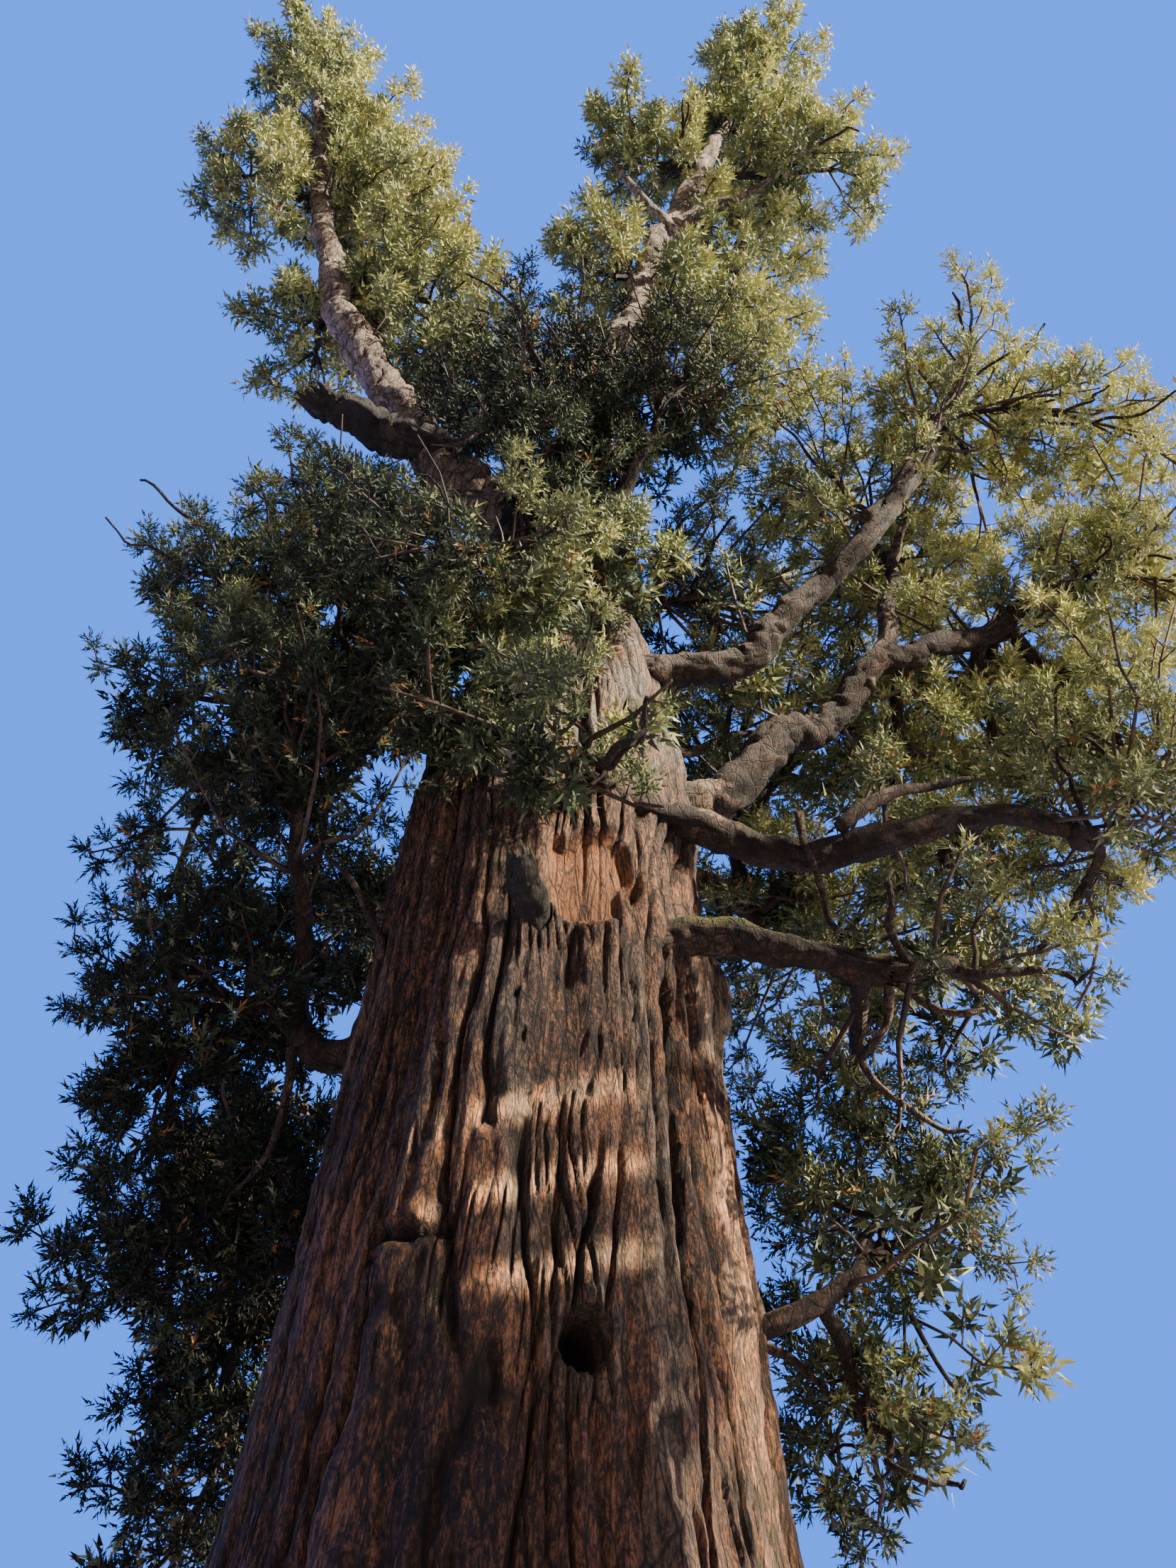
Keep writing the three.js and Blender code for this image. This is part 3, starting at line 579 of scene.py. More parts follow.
def trunk_relief(angle, height):
    """How far the bark stands out, how much painted shade darkens its furrows, cracks and holes, and how grey
    and raw it is.
    """
    u, v = angle / (2 * pi), height / TRUNK_TOP
    _, radius = trunk_axis(height)

    def field(across, along, offset, shift=0):
        return waves(u + shift, v, across, along, offset)

    wander = 0.004 * field(15, 12, 1) + 0.0015 * field(60, 50, 2)
    ridge = RIDGES * u + 1.1 * field(21, 5, 3) + 0.4 * field(52, 14, 4)
    ridge += 0.1 * field(90, 60, 23)
    beside = np.abs(ridge - np.round(ridge))
    strong = smooth(-0.75, 0.1, field(RIDGES, 11, 24))
    furrow = np.clip(1 - beside / 0.13, 0, 1) ** 0.8 * strong
    split = SPLITS * u + 1.3 * field(44, 12, 5) + 0.4 * field(90, 40, 25)
    crack = np.clip(1 - np.abs(split - np.round(split)) / 0.17, 0, 1) * smooth(0, 0.5, field(60, 22, 6))
    dome = smooth(0, 0.5, beside)
    fibre = field(260, 60, 7, wander)
    flake = field(130, 130, 16, wander)
    lump = field(60, 34, 17, wander)
    deep = FURROW_DEPTH - (FURROW_DEPTH - UPPER_FURROW_DEPTH) * smooth(8.5, 12, height)
    out = 0.35 * deep * dome - deep * furrow - 0.6 * deep * crack
    out += deep * (0.14 * fibre + 0.2 * flake + 0.15 * lump)
    out += 0.03 * field(11, 7, 8)
    # Painted shade darkens the furrows and cracks.
    dark = furrow**1.1 + 0.85 * crack
    patches = smooth(0.1, 0.7, field(24, 12, 9, wander)) * 0.3
    # The upper trunk is flaky: pale scales, gaps between them darkened with painted shade, and a little
    # orange where scales have dropped off.
    upper = smooth(9, 10.6, height + 0.8 * field(14, 12, 10))
    scales = field(34, 52, 26, wander)
    grey = np.maximum(patches * (1 - furrow), upper * (0.25 + 0.75 * smooth(-0.1, 0.3, scales)))
    out += 0.08 * upper * scales
    dark = np.maximum(dark, 0.9 * upper * smooth(0.2, 0.5, -scales))
    for strip in GREY_STRIPS:
        beside = line_distance(angle, height, strip, radius)
        edge = 0.1 + 0.07 * field(30, 40, 11) + 0.05 * field(110, 130, 18)
        grey = np.maximum(grey, 0.6 * (1 - smooth(edge, edge + 0.06, beside)))
    beside = line_distance(angle, height, LONG_FURROW, radius)
    half_width = 0.03 + 0.075 * smooth(4.2, 5, height)
    slit = 1 - smooth(half_width, half_width + 0.05, beside + 0.02 * field(40, 90, 19))
    out -= LONG_FURROW_DEPTH * slit
    # The long furrow is darkened with painted shade.
    dark = np.maximum(dark, slit)
    # The wound above the bark's ledge shows orange inner bark, set back behind a ragged edge.
    wound = mark_distance(angle, height, WOUND, radius) + 0.22 * field(90, 60, 12)
    ragged = 0.16 * field(34, 10, 13) + 0.09 * field(120, 10, 20)
    ledge = smooth(7.38, 7.45, height + ragged)
    hollow = (1 - smooth(0.75, 1.15, wound)) * ledge
    raw = np.maximum(hollow * 0.85, 0.35 * upper * smooth(0.2, 0.5, field(22, 34, 28)))
    out -= (0.13 + 0.75 * out) * hollow
    dark *= 1 - 0.6 * hollow
    # Knotholes and small holes are dark inside with painted shade.
    for mark, depth in KNOTHOLES:
        away = mark_distance(angle, height, mark, radius) + 0.12 * field(80, 70, 14)
        rim = np.exp(-(((away - 1.35) / 0.38) ** 2))
        inside = 1 - smooth(0.45, 1.05, away)
        out += 0.3 * mark[2] * rim * (0.6 + 0.8 * field(70, 60, 21)) - depth * inside
        dark = np.maximum(dark * (1 - rim), 1.15 * inside)
        grey = np.maximum(grey, 0.45 * rim)
    for mark in SMALL_HOLES:
        inside = 1 - smooth(0.5, 1.2, mark_distance(angle, height, mark, radius))
        out -= SMALL_HOLE_DEPTH * inside
        dark = np.maximum(dark, inside)
    away = mark_distance(angle, height, SWIRL_BURL, radius)
    burl = np.exp(-(away**2))
    gash = mark_distance(angle, height, BURL_GASH, radius) + 0.5 * field(60, 60, 15)
    pit = 1 - smooth(0.6, 1.1, gash)
    knots = smooth(0.25, 0.6, field(84, 90, 22)) * (1 - smooth(0.9, 1.5, away))
    out += 0.09 * burl - 0.12 * pit - 0.05 * knots
    # The burl's gash and pits are darkened with painted shade.
    dark = np.maximum(dark, np.maximum(pit, 0.8 * knots))
    for mark, height_out in SMOOTH_BURLS:
        burl = np.exp(-(mark_distance(angle, height, mark, radius) ** 2))
        out += height_out * burl
        grey = np.maximum(grey, 0.7 * burl)
    for thick, swell in collars(angle, height, radius):
        out += 0.45 * thick * swell
        grey = np.maximum(grey, 0.4 * swell)
    return out, np.clip(dark, 0, 1), np.clip(grey, 0, 1), np.clip(raw, 0, 1)


def trunk_bark():
    share = np.linspace(0, 1, TRUNK_ROWS)
    heights = np.interp(share, [0, 0.1, 0.86, 1], [0, 2.2, 11.5, TRUNK_TOP])
    turn = np.linspace(0, 2 * pi, TRUNK_COLUMNS, endpoint=False)
    # Columns lie a little closer together on the side that the camera sees.
    angles = turn - 0.5 * np.sin(turn - pi / 2) - pi
    height, angle = np.meshgrid(heights, angles, indexing="ij")
    out, dark, grey, raw = trunk_relief(angle, height)
    axis, radius = trunk_axis(height)
    out *= smooth(0, 0.05, height) * 0.999 + 0.001
    out *= smooth(0, 0.4, TRUNK_TOP - height)
    fat = radius * trunk_swell(angle, height) + out
    points = np.stack([axis + fat * np.cos(angle), fat * np.sin(angle), height], axis=-1).reshape(-1, 3)
    points = np.concatenate([points, [[axis[0, 0], 0, 0], [axis[-1, 0], 0, TRUNK_TOP + TRUNK_CAP]]])
    values = {"furrow": (dark, 0), "grey": (grey, 1), "raw": (raw, 0)}
    faces = tube_faces(TRUNK_ROWS, TRUNK_COLUMNS)
    mesh_piece("trunk_bark", points, faces, RED_BARK, "bark", ["trunk"], values)


trunk_bark()


# Bark on the limbs

# Limbs' looks: a pale foot, which on the right-hand boughs and the right leader is also painted sunlight,
# moss, a broken end's splinters, a ring's length, bends, and girth by the solid's.
PLAIN = dict(pale_foot_and_sunlight=0, moss=0, splinters=0, ring=0.06, bend=0.12, girth=1)
BOUGH = dict(PLAIN, material=BOUGH_BARK, slot="bark", sides=28, grey=0.05, pale_foot_and_sunlight=0.3)
# The right-hand boughs' feet are paler: pale flaky bark with painted sunlight on it.
SUNLIT_BOUGH = dict(BOUGH, pale_foot_and_sunlight=0.9)
LEADER = dict(BOUGH, material=PALE_BARK, slot="upper_bark", sides=34, grey=0.4, ring=0.09)
DRESSES = {
    "left_leader": LEADER,
    # The right leader's foot is paler too, with painted sunlight on it.
    "right_leader": dict(LEADER, pale_foot_and_sunlight=0.9),
    "broken_snag": dict(BOUGH, material=DEAD_WOOD, slot="dead_wood", bend=0.04, girth=1.4, splinters=0.28),
    "right_broken_bough": dict(BOUGH, moss=0.9, splinters=0.16),
}


def limb_bark(name, path, thickness, nodes, offset, dress):
    """A tube with scales and cracks along a path. It may be pale at its foot, with painted sunlight there on
    the right-hand limbs, mossy on top and broken off.
    """
    rings, sides, grey, splinters = len(path), dress["sides"], dress["grey"], dress["splinters"]
    share = np.linspace(0, 1, rings)
    v, u = np.meshgrid(share, np.arange(sides) / sides, indexing="ij")
    length = np.sum(norm(np.diff(path, axis=0), axis=1))
    along = max(4, int(length / 0.35))
    wander = 0.05 * waves(u, v, 5, along, offset)
    plates = waves(u + wander, v, 8, along * 2, offset + 1)
    furrow = np.clip(1 - np.abs(plates) / 0.3, 0, 1)
    lumps = waves(u, v, 4, max(3, along // 2), offset + 2)
    flakes = waves(u, v, sides // 2, along * 4, offset + 4)
    scale = 1 + 0.17 * lumps + 0.06 * plates - 0.2 * furrow + 0.09 * flakes
    if splinters:
        rotten = 0.36 * waves(u, v, 11, 3, offset + 6) + 0.2 * waves(u, v, 6, along, offset + 7)
        scale += smooth(0, 0.7, v) * rotten
    radii = thickness[:, None] * scale
    points, faces = tubes(path[None], radii[None], sides)
    if splinters:
        # The sides of a broken end reach out unevenly, and its middle is rotted back.
        ahead = unit(path[-1] - path[-5])
        lengths = splinters * random_stream(offset + 8).uniform(-1, 1, sides)
        sides_out = (lengths[None] * smooth(0.75, 1, v))[..., None] * ahead
        points[: rings * sides] += sides_out.reshape(-1, 3)
        points[-1] -= 2 * splinters * ahead
    patches = smooth(-0.2, 0.4, waves(u, v, 3, along, offset + 3))
    # How pale the foot is; on the right-hand limbs it is partly painted sunlight.
    pale_foot_and_sunlight = dress["pale_foot_and_sunlight"] * patches * (1 - smooth(1.3, 2.3, v * length))
    pale = np.maximum(grey * (0.4 + 0.6 * patches), pale_foot_and_sunlight)
    top = (points[: rings * sides, 2].reshape(rings, sides) - path[:, None, 2]) / thickness[:, None]
    green = dress["moss"] * smooth(0.15, 0.7, top + 0.4 * waves(u, v, 6, along * 2, offset + 5))
    # The furrows between the limb's plates are darkened with painted shade.
    values = {"furrow": (0.9 * furrow, 0), "grey": (pale, grey), "moss": (green, 0)}
    mesh_piece(name, points, faces, dress["material"], dress["slot"], nodes, values)


limb_paths = {}
for number, (name, sizes) in enumerate(LIMBS.items()):
    dress = DRESSES.get(name, SUNLIT_BOUGH if name.startswith("right") else BOUGH)
    rings = int(norm(sizes["tip"] - sizes["foot"]) / dress["ring"])
    share = np.linspace(0, 1, rings)
    path = crooked(limb_points(sizes, share), dress["bend"], LIMB_STREAM + STREAM_STEP * number)
    thickness = limb_radius(sizes["radii"], share)
    limb_paths[name] = (path, thickness)
    offset = LIMB_BARK_STREAM + STREAM_STEP * number
    limb_bark(f"{name}_bark", path, thickness * dress["girth"], [name], offset, dress)

trunk_heights = np.linspace(0, TRUNK_TOP, 80)
trunk_x, trunk_thickness = trunk_axis(trunk_heights)
trunk_path = np.stack([trunk_x, np.zeros_like(trunk_x), trunk_heights], axis=-1)
limb_paths["trunk"] = (trunk_path, trunk_thickness)


# Twigs and leaves

TUFT_KINDS = 8
# Tufts low and high up: shoots, leaves on a shoot, a leaf's length and half-width, and a shoot's length.
LOW_TUFT = dict(shoots=12, leaves=9, length=0.076, half=0.0138, reach=0.2)
HIGH_TUFT = dict(shoots=14, leaves=6, length=0.13, half=0.03, reach=0.3)
# Deep in a mass, behind its middle, the tufts have few, broad leaves, which close it.
INNER_TUFT = dict(shoots=11, leaves=5, length=0.13, half=0.027, reach=0.24)
INNER = 0.75
HIGH_FROM = 19
# How many branchlets a mass has for its half-width times its half-height.
LOW_BRANCHLETS = 8.6
HIGH_BRANCHLETS = 5.5
BRANCHLET_RINGS = 5
BRANCHLET_TUFTS = 9
# Shares of a branchlet's length by which it sags, sways and has kinks.
SAG = 0.14
SWAY = 0.24
KINKS = 0.05
# How much a branchlet or a stem thins to its tip, and a branchlet's least radius and radius by the stem's.
TAPER = 0.7
LEAST_RADIUS = 0.006
BRANCHLET_SHARE = 0.28
FIRST_TUFT = 0.3
TWIG_LENGTHS = (0.14, 0.36)
TUFT_SIZES = (0.8, 1.2)
# How far branchlets reach, as shares of the mass's spans.
MASS_REACH = (0.6, 1.2)
CLUMP_REACH = (0.6, 1)
LEFT_REACH = (0.6, 0.95)
# Bare branches: where in the mass they end along x, y and z, and their radius by the stem's.
BARE_ENDS = [(-0.75, 0.75), (-0.8, -0.4), (-0.6, 0.35)]
BARE_SHARES = (0.25, 0.45)
BARE_BEND = 0.16
BARE_TO_MASS = 2
STEM_RINGS = 20
BARE_RINGS = 18
ROUGH_SIDES = 9
UNEVEN = (0.84, 1.16)
CLUMP = -1
LEFT_SIDE = -2
# The masses low on the right are more open to the sky.
OPEN_FROM = 3
OPEN_BELOW = 9
OPEN_SHARE = 0.62
# How far ends of branches stay inside the solids' box. Tufts and leaves may pass it.
BRANCHLET_MARGIN = 0.25
BARE_MARGIN = 0.3
TUFT_MARGIN = -0.05
LEAF_MARGIN = -0.2
VIEWPOINT = np.array([0.57, -10.0, 1.0])
# Limbs that show bare from the viewpoint: the shares of the limb, and the clear width.
SHOWN = {
    "left_leader": (0.02, 0.86, 0.32),
    "right_leader": (0.3, 0.8, 0.28),
    "broken_snag": (0.2, 1, 0.5),
    "right_upper_bough": (0.1, 0.7, 0.22),
    "right_middle_bough": (0.1, 0.85, 0.24),
    "right_lower_bough": (0.05, 1, 0.26),
    "right_broken_bough": (0.05, 1, 0.3),
    "right_foot_bough": (0.3, 0.9, 0.15),
}


def bezier(start, bend, end, t):
    t = np.atleast_1d(t)[:, None]
    return (1 - t) ** 2 * start + 2 * t * (1 - t) * bend + t**2 * end


def tuft_shape(random, shoots, leaves, length, half, reach):
    """Leaves of one tuft as triangles, heading along +Z from its root. Shape (shoots, leaves, 3, 3)."""
    made = []
    for i in range(shoots):
        share = (i + 0.5) / shoots
        turn = i * GOLDEN_ANGLE + random.uniform(-0.4, 0.4)
        lean = acos(1 - 1.15 * share) * random.uniform(0.85, 1.1)
        ahead = np.array([cos(turn) * sin(lean), sin(turn) * sin(lean), cos(lean)])
        root = UP * reach * 0.35 * (1 - share)
        long = reach * random.uniform(0.65, 1.05) * (1.15 - 0.35 * share)
        side = unit(np.cross(ahead, UP + 0.01))
        over = np.cross(side, ahead)
        for k in range(leaves):
            along = (k + 0.6) / leaves
            place = root + ahead * long * along + over * long * 0.15 * along**2
            spin = k * GOLDEN_ANGLE + random.uniform(-0.4, 0.4)
            out = cos(spin) * side + sin(spin) * over
            tip = place + unit(ahead + out * 1.1 * (1 - 0.5 * along)) * length * random.uniform(0.8, 1.15)
            wide = unit(np.cross(ahead, out)) * half
            made.append([place - wide, place + wide, tip])
    return np.array(made).reshape(shoots, leaves, 3, 3)


def turned_to(directions, roll):
    """Matrices that turn +Z to each direction."""
    z = unit(directions)
    lean = np.where(np.abs(z[:, 2:3]) > 0.95, [[1.0, 0, 0]], [[0, 0, 1.0]])
    x = unit(np.cross(lean, z))
    y = np.cross(z, x)
    ahead, aside = np.cos(roll)[:, None], np.sin(roll)[:, None]
    return np.stack([x * ahead + y * aside, y * ahead - x * aside, z], axis=-1)


growth = random_stream(7)
box_low, box_high = np.array(cad_low), np.array(cad_high)
stems, stem_radii = [], []
branchlets, branchlet_radii = [], []
bare, bare_radii = [], []
tufts = []


def in_box(places, margin):
    return np.clip(places, box_low + margin, box_high - margin)


def across(ahead):
    """Two directions square to another."""
    sideways = unit(np.cross(ahead, UP) + 1e-6)
    return sideways, np.cross(sideways, ahead)


def grow_branchlet(root, end, thick, outward, middle, spans, count):
    """A sagging branchlet, with tufts on short side twigs round it."""
    span = norm(end - root)
    control = (root + end) / 2 - UP * SAG * span + growth.uniform(-SWAY, SWAY, 3) * span
    t = np.linspace(0, 1, BRANCHLET_RINGS)
    path = bezier(root, control, end, t)
    path[1:-1] += growth.uniform(-KINKS, KINKS, (BRANCHLET_RINGS - 2, 3)) * span
    branchlets.append(path)
    branchlet_radii.append(thick * (1 - TAPER * t) + LEAST_RADIUS)
    begin = growth.uniform(0, 2 * pi)
    for k in range(count):
        share = FIRST_TUFT + (1 - FIRST_TUFT) * (k + growth.uniform(0.3, 1)) / count
        place, before = (np.array([np.interp(at, t, line) for line in path.T]) for at in (share, share - 0.1))
        ahead = unit(place - before)
        sideways, over = across(ahead)
        spin = begin + k * GOLDEN_ANGLE
        around = cos(spin) * sideways + sin(spin) * over
        aside = unit(around + 0.6 * ahead * share + 0.25 * UP)
        twig = growth.uniform(*TWIG_LENGTHS) * (1.15 - 0.75 * share)
        heading = unit(0.7 * aside + 0.45 * UP + 0.4 * outward + growth.uniform(-0.3, 0.3, 3))
        size = growth.uniform(*TUFT_SIZES)
        tufts.append((place, in_box(place + aside * twig, TUFT_MARGIN), heading, size, middle, spans))


def grow_bare(stem, thick, middle, spans):
    """A bare branch from a stem to the front of its mass."""
    end = in_box(middle + spans * [growth.uniform(*ends) for ends in BARE_ENDS], BARE_MARGIN)
    root = stem[int(growth.uniform(0.1, 0.7) * (STEM_RINGS - 1))]
    t = np.linspace(0, 1, BARE_RINGS)
    control = (root + end) / 2 + growth.uniform(-0.25, 0.25, 3) * norm(end - root) - UP * 0.15
    bare.append(crooked(bezier(root, control, end, t), BARE_BEND, BARE_STREAM + int(growth.integers(9000))))
    bare_radii.append(growth.uniform(*BARE_SHARES) * thick * (1 - 0.75 * t) + 0.008)


def stem_start(limb, middle, index):
    """Where a stem leaves its limb, its thickness, the limb's direction there, and whether it is the tip."""
    path, thickness = limb_paths[limb]
    count = len(path)
    most = 1
    if limb.endswith("bough"):
        most = 1 - STEM_SPACING * max(index, 0)
    elif limb == "trunk":
        most = TRUNK_LAST_STEM
    low, high = int(FIRST_STEM * (count - 1)), int(round(most * (count - 1)))
    at = low + int(np.argmin(norm(path[low : high + 1] - middle, axis=1)))
    start = path[at]
    if limb == "trunk":
        start = start + unit((middle - start) * [1, 1, 0]) * thickness[at] * TRUNK_STEM_DEPTH
    thick = min(STEM_MOST, STEM_SHARE * thickness[at])
    return start, thick, unit(path[at] - path[max(0, at - 2)]), at >= count - 3


def grow_mass(limb, row, index):
    """One mass: a stem from its limb, branchlets round it by the golden angle, and bare branches.

    A clump has the index CLUMP and no bare branches.
    """
    x, y, z, width, height = row
    middle = np.array([x, y, z])
    spans = np.array([width, width, height])
    start, thick, leave, at_tip = stem_start(limb, middle, index)
    bend = start + leave * 0.4 * norm(middle - start) if at_tip else middle
    beyond = middle + (middle * 2 - (bend + start) / 2 - middle) * 0.5
    past = middle + unit(beyond - middle) * STEM_PAST_MIDDLE * width
    t = np.linspace(0, 1, STEM_RINGS)
    stem = bezier(start, bend if at_tip else start * 0.5 + past * 0.5, past, t)
    stem = crooked(stem, STEM_BEND, STEM_STREAM + int(growth.integers(4000)))
    stems.append(stem)
    stem_radii.append(thick * (1 - TAPER * t))
    number = int(round((HIGH_BRANCHLETS if z > HIGH_FROM else LOW_BRANCHLETS) * width * height))
    if x > OPEN_FROM and z < OPEN_BELOW:
        number = int(OPEN_SHARE * number)
    reach = MASS_REACH
    if index == CLUMP:
        reach = CLUMP_REACH
    elif x < LEFT_SIDE and z < HIGH_FROM:
        reach = LEFT_REACH
    begin = growth.uniform(0, 2 * pi)
    for i in range(number):
        slope = 1 - 1.85 * (i + 0.5) / number
        flat = sqrt(1 - slope * slope)
        turn = begin + i * GOLDEN_ANGLE
        out = np.array([cos(turn) * flat, sin(turn) * flat, slope]) * spans
        end = in_box(middle + out * growth.uniform(*reach), BRANCHLET_MARGIN)
        # Each branchlet leaves the stem somewhere before the place nearest to its end.
        nearest = np.argmin(norm(stem - end, axis=1))
        root = stem[max(2, int(growth.uniform(0.45, 1) * nearest))]
        grow_branchlet(root, end, BRANCHLET_SHARE * thick, unit(end - middle), middle, spans, BRANCHLET_TUFTS)
    for _ in range(0 if index == CLUMP else BARE_TO_MASS):
        grow_bare(stem, thick, middle, spans)


def nearest_limb(row):
    """The limb that comes nearest to a clump."""
    middle = np.array(row[:3])
    gaps = {limb: norm(limb_paths[limb][0] - middle, axis=1).min() for limb in LIMBS}
    return min(gaps, key=gaps.get)


for limb, rows in FOLIAGE.items():
    for index, row in enumerate(rows):
        grow_mass(limb, row, index)
for row in CLUMPS:
    grow_mass(nearest_limb(row), row, CLUMP)

# Short branchlets along the limbs fill the space between the masses.
SPRIGS_PER_METRE = 1.5
SPRIG_TUFTS = 6
SPRIG_LENGTHS = (0.9, 1.7)
SPRIG_THICKNESS = 0.03
SPRIG_SPANS = np.array([1.2, 1.2, 1.2])
# The share of a bough and of a leader that has no sprigs.
BARE_BOUGH = 0.3
BARE_LEADER = 0.12
for limb in LIMBS:
    if limb in ("broken_snag", "right_broken_bough"):
        continue
    path, _ = limb_paths[limb]
    length = norm(path[-1] - path[0])
    first = BARE_LEADER if limb.endswith("leader") else BARE_BOUGH
    for i in range(int(SPRIGS_PER_METRE * length * (1 - first))):
        at = int((first + (1 - first) * growth.uniform(0, 1)) * (len(path) - 1))
        turn = i * GOLDEN_ANGLE
        ahead = unit(path[at] - path[max(0, at - 3)])
        sideways, over = across(ahead)
        out = unit(cos(turn) * sideways + abs(sin(turn)) * over + 0.5 * ahead + [0, 0.35, 0])
        end = in_box(path[at] + out * growth.uniform(*SPRIG_LENGTHS), BRANCHLET_MARGIN)
        grow_branchlet(path[at], end, SPRIG_THICKNESS, out, path[at] + out * 0.8, SPRIG_SPANS, SPRIG_TUFTS)

mass_nodes = [f"{limb}_foliage_{i + 1}" for limb, rows in FOLIAGE.items() for i in range(len(rows))]


def hides(places):
    """Which places hide, from the photo's viewing point, a limb that shows bare in it."""
    lines = [(limb_paths[name][0], first, last, clear) for name, (first, last, clear) in SHOWN.items()]
    lines += [(path, 0.1, 0.95, 0.08) for path in bare[::3] if path[0, 0] > 0]
    hidden = np.zeros(len(places), bool)
    away = places - VIEWPOINT
    far = norm(away, axis=1)
    for path, first, last, clear in lines:
        shown = path[int(first * (len(path) - 1)) : int(last * (len(path) - 1)) + 1 : 2] - VIEWPOINT
        reach = norm(shown, axis=1)
        beside = norm(np.cross(away[:, None] / far[:, None, None], shown[None]), axis=2)
        hidden |= ((beside < clear) & (far[:, None] < reach + 0.1)).any(axis=1)
    return hidden


# How far a side twig reaches into its tuft, and its radius at both ends.
TWIG_REACH = 0.06
TWIG_RADII = [0.011, 0.005]
grown = [np.array(part) for part in zip(*tufts)]
kept = ~hides(grown[1] + grown[2] * 0.1)
tuft_feet, tuft_places, tuft_headings, tuft_sizes, tuft_middles, tuft_spans = (part[kept] for part in grown)

twig_paths = np.stack([tuft_feet, tuft_places + tuft_headings * TWIG_REACH], axis=1)
twig_radii = np.tile(TWIG_RADII, (len(twig_paths), 1))
points, faces = tubes(np.array(branchlets), np.array(branchlet_radii), 3)
more_points, more_faces = tubes(twig_paths, twig_radii, 3)
faces = np.concatenate([faces, more_faces + len(points)])
mesh_piece("twigs", np.concatenate([points, more_points]), faces, twig_material(), "bark", mass_nodes)


def rough_branches(name, paths, radii, nodes):
    """Branches with uneven sides."""
    uneven = random_stream(31).uniform(*UNEVEN, (*np.shape(radii), ROUGH_SIDES))
    wood = tubes(np.array(paths), np.array(radii)[..., None] * uneven, ROUGH_SIDES)
    mesh_piece(name, *wood, BOUGH_BARK, "bark", nodes)


rough_branches("stems", stems, stem_radii, mass_nodes)
rough_branches("bare_branches", bare, bare_radii, [])

BRANCH_RINGS = 9
BRANCH_BEND = 0.05
BRANCH = dict(PLAIN, material=BOUGH_BARK, slot="bark", sides=12, grey=0.3)
PALE_BRANCH = dict(BRANCH, material=PALE_BARK, slot="upper_bark")
PALE_BRANCHES = 2
for number, (places, radii) in enumerate(BRANCHES):
    rings = len(places) * BRANCH_RINGS
    path = crooked(curve_through(places, rings), BRANCH_BEND, BRANCH_STREAM + STREAM_STEP * number)
    thickness = np.linspace(*radii, rings)
    dress = PALE_BRANCH if number < PALE_BRANCHES else BRANCH
    limb_bark(f"branch_{number + 1}", path, thickness, [], BRANCH_BARK_STREAM + STREAM_STEP * number, dress)

STUB_RINGS = 24
STUB_DRESS = dict(PLAIN, material=DEAD_WOOD, slot="dead_wood", sides=24, grey=0, moss=0.6, splinters=0.2)
path = crooked(curve_through(STUB[0], STUB_RINGS), BRANCH_BEND, STUB_STREAM)
thickness = np.linspace(*STUB[1], STUB_RINGS)
limb_bark("dead_stub", path, thickness, [], STUB_BARK_STREAM, STUB_DRESS)

# Tints from the darkest to the brightest, painted shade through painted sunlight, each with the share of the
# shoots that has it.
LEAF_TINTS = {
    "leaves_shade": ((0.02, 0.026, 0.015), 0.205),
    "leaves_green": ((0.06, 0.08, 0.042), 0.205),
    "leaves_olive": ((0.145, 0.17, 0.075), 0.205),
    "leaves_moss": ((0.28, 0.305, 0.12), 0.205),
    "leaves_sunlit": ((0.46, 0.46, 0.18), 0.18),
}
# Parts of the crown where painted shade darkens the leaf tints: x and z of the middle, half-width,
# half-height and strength.
DARK_PARTS = [
    (-0.2, 17.4, 3, 3.2, 2.1), (-2, 9, 1.6, 3.5, 0.9),
    (-3.6, 6.5, 2.5, 3.5, 0.9), (3, 7, 2, 2.5, 0.4),
]
GREY_LEAVES = (0.15, 0.175, 0.11)
GREY_CHANCE = 0.07
DRY_LEAVES = (0.27, 0.15, 0.055)
DRY_FROM = 0.985


def leaf_light(heart, middles, spans, random):
    """How light each shoot's tint is, from where it lies in its mass and in the tree: painted sunlight on the
    top, right, front and outside of its mass, on the right of the lower crown and higher up, painted shade in
    the crown's shaded parts, and a random spread.
    """
    inside = (heart - middles) / spans
    far = norm(inside, axis=-1)
    light = 0.5 * inside[..., 2] + 0.5 * inside[..., 0] - 0.1 * inside[..., 1] + 0.45 * far
    x, z = heart[..., 0], heart[..., 2]
    light += 0.09 * x * (1 - smooth(17, 22, z)) + 0.06 * np.clip(z - 12, -8, 8)
    for dark_x, dark_z, wide, tall, dark in DARK_PARTS:
        light -= dark * np.exp(-(((x - dark_x) / wide) ** 2) - ((z - dark_z) / tall) ** 2)
    return light + (random.normal(0, 0.25, far.shape[:1])[:, None] + random.normal(0, 0.2, far.shape))


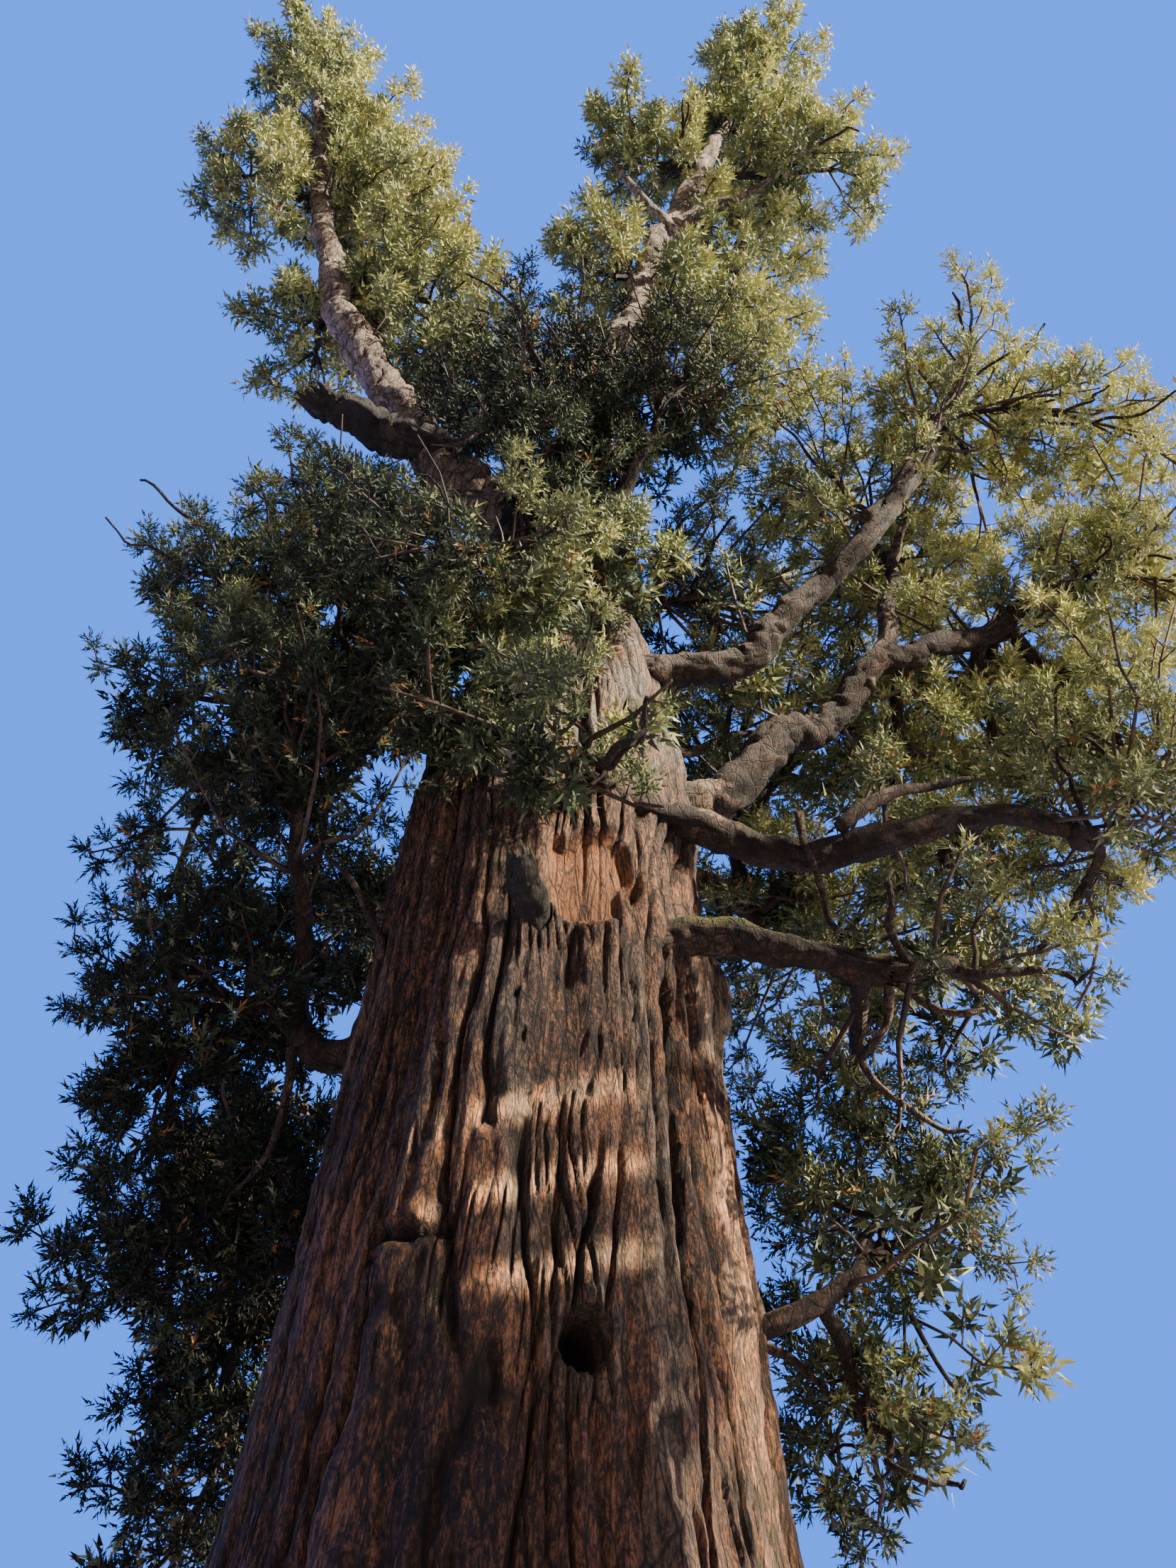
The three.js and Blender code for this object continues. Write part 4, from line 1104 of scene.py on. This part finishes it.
def leaf_pieces():
    random = random_stream(21)
    leaves, lights, chances = [], [], []
    depth = norm((tuft_places - tuft_middles) / tuft_spans, axis=1)
    behind = tuft_places[:, 1] > tuft_middles[:, 1]
    level = np.where((depth < INNER) & behind, 2, (tuft_middles[:, 2] > HIGH_FROM).astype(int))
    for number, sizes in enumerate((LOW_TUFT, HIGH_TUFT, INNER_TUFT)):
        group = np.flatnonzero(level == number)
        kinds = random.integers(0, TUFT_KINDS, len(group))
        matrices = turned_to(tuft_headings[group], random.uniform(0, 2 * pi, len(group)))
        matrices = matrices * tuft_sizes[group, None, None]
        for kind in range(TUFT_KINDS):
            shape = tuft_shape(random, **sizes)
            chosen = np.flatnonzero(kinds == kind)
            places = tuft_places[group][chosen]
            placed = np.einsum("nij,skcj->nskci", matrices[chosen], shape) + places[:, None, None, None]
            heart = placed.mean(axis=(2, 3))
            middles, spans = (part[group][chosen, None] for part in (tuft_middles, tuft_spans))
            light = leaf_light(heart, middles, spans, random)
            low = placed.min(axis=(2, 3)) > box_low + LEAF_MARGIN
            top = placed.max(axis=(2, 3)) < box_high - LEAF_MARGIN
            kept = low.all(axis=-1) & top.all(axis=-1)
            leaves.append(placed[kept].reshape(-1, 3, 3))
            lights.append(np.repeat(light[kept], sizes["leaves"]))
            chances.append(np.repeat(random.uniform(0, 1, kept.sum()), sizes["leaves"]))
    leaves, lights, chances = np.concatenate(leaves), np.concatenate(lights), np.concatenate(chances)
    limits = np.quantile(lights, np.cumsum([share for _, share in LEAF_TINTS.values()])[:-1])
    tints = np.array(list(LEAF_TINTS))[np.digitize(lights, limits)]
    tints = np.where((chances < GREY_CHANCE) & (tints != "leaves_sunlit"), "leaves_grey", tints)
    tints = np.where(chances > DRY_FROM, "leaves_dry", tints)
    colours = {name: colour for name, (colour, _) in LEAF_TINTS.items()}
    for name, colour in {**colours, "leaves_grey": GREY_LEAVES, "leaves_dry": DRY_LEAVES}.items():
        points = leaves[tints == name].reshape(-1, 3)
        faces = np.arange(len(points)).reshape(-1, 3)
        mesh_piece(name, points, faces, leaf_material(name, colour), "foliage", mass_nodes, rounded=False)


leaf_pieces()


# Floor, light and camera

FLOOR_HALF = 50
shader = Shader(bpy.data.materials.new("floor_paint"))
floor_tone = shader.noise((0.2, 0.2, 0.2), 2.0)
floor_colour = shader.ramp(floor_tone, [(0.3, (0.47, 0.46, 0.45)), (0.7, (0.51, 0.5, 0.49))])
floor_mesh = bpy.data.meshes.new("floor")
corners = [(FLOOR_HALF * x, FLOOR_HALF * y, 0) for x, y in ((-1, -1), (1, -1), (1, 1), (-1, 1))]
floor_mesh.from_pydata(corners, [], [(0, 1, 2, 3)])
floor_mesh.materials.append(shader.finish(Base_Color=floor_colour, Roughness=0.9))
floor = new_object("floor", floor_mesh)

# The studio's backdrop is blue behind the tree and a dim warm grey in front of it.
FRONT_GREY = (0.13, 0.12, 0.115, 1)
BACK_BLUE = (0.08, 0.4, 1.9, 1)
studio = Shader(bpy.data.worlds.new("studio"), "Background")
back = studio.add("SeparateXYZ", {0: studio.add("TexCoord")}, output=1)
fade = {"Value": back, "From Min": -0.5, "From Max": 0.22}
share = studio.add("MapRange", fade, interpolation_type="SMOOTHSTEP")
bpy.context.scene.world = studio.finish(Color=studio.mix(share, FRONT_GREY, BACK_BLUE), Strength=1)


def new_lamp(name, kind, power, colour):
    """A lamp's light and the object that holds it."""
    light = bpy.data.lights.new(name, kind)
    light.energy = power
    light.color = colour
    return light, new_object(name, light)


def aim(lamp, place, middle):
    """Hangs a lamp at a place, turns it to the middle of what it lights, and gives the distance between."""
    ray = Vector(middle) - Vector(place)
    lamp.location = place
    lamp.rotation_euler = ray.to_track_quat("-Z", "Y").to_euler()
    return ray.length


# A low key light grazes the trunk from the right.
KEY_COLOUR = (1, 0.78, 0.5)
key, key_lamp = new_lamp("key", "SUN", 15, KEY_COLOUR)
key.angle = radians(2)
key_lamp.rotation_euler = (radians(60), 0, radians(114))

# Lamps: where each hangs, the middle and radius of what it lights, its power and its colour.
LAMPS = {
    "crown_lamp": ((41.7, -22.3, 63), (0.5, 0, 30), 16.5, 1000000, (1, 0.9, 0.72)),
    "right_lamp": ((44, -20, 36), (7.2, -0.5, 13), 6, 420000, (1, 0.9, 0.7)),
    "fork_lamp": ((28, -14, 22), (1.1, -1.2, 10), 2.1, 130000, (1, 0.8, 0.54)),
}
for name, (place, middle, reach, power, colour) in LAMPS.items():
    light, lamp = new_lamp(name, "SPOT", power, colour)
    light.shadow_soft_size = 1
    light.spot_blend = 0.4
    light.spot_size = 2 * atan(reach / aim(lamp, place, middle))

# Beams on the trunk: the start, the middle of what it lights, width, height, spread in degrees and power.
BEAM_COLOUR = (1, 0.74, 0.44)
BEAMS = {
    "edge_beam": ((25, -0.7, 8.5), (1.9, -0.7, 4.4), 0.2, 6.5, 1.8, 125),
    "upper_band": ((11.2, -5.2, 9.7), (0.45, -1.75, 5.65), 0.7, 0.2, 1.2, 8),
    "middle_band": ((11.2, -5.3, 9), (0.4, -1.8, 4.95), 0.75, 0.14, 1.2, 7),
    "lower_band": ((11.2, -5.3, 8.3), (0.5, -1.8, 4.3), 0.65, 0.14, 1.2, 7),
}
for name, (place, middle, width, height, spread, power) in BEAMS.items():
    light, lamp = new_lamp(name, "AREA", power, BEAM_COLOUR)
    light.shape = "RECTANGLE"
    light.size = width
    light.size_y = height
    light.spread = radians(spread)
    aim(lamp, place, middle)

# The camera looks 44 degrees up.
CAMERA_TILT = radians(90 + 44)
camera = bpy.data.cameras.new("camera")
camera.sensor_width = 36
camera.lens = 27.0
camera.clip_end = 500
camera_object = new_object("camera", camera)
camera_object.location = VIEWPOINT
camera_object.rotation_euler = (CAMERA_TILT, 0, 0)
bpy.context.scene.camera = camera_object
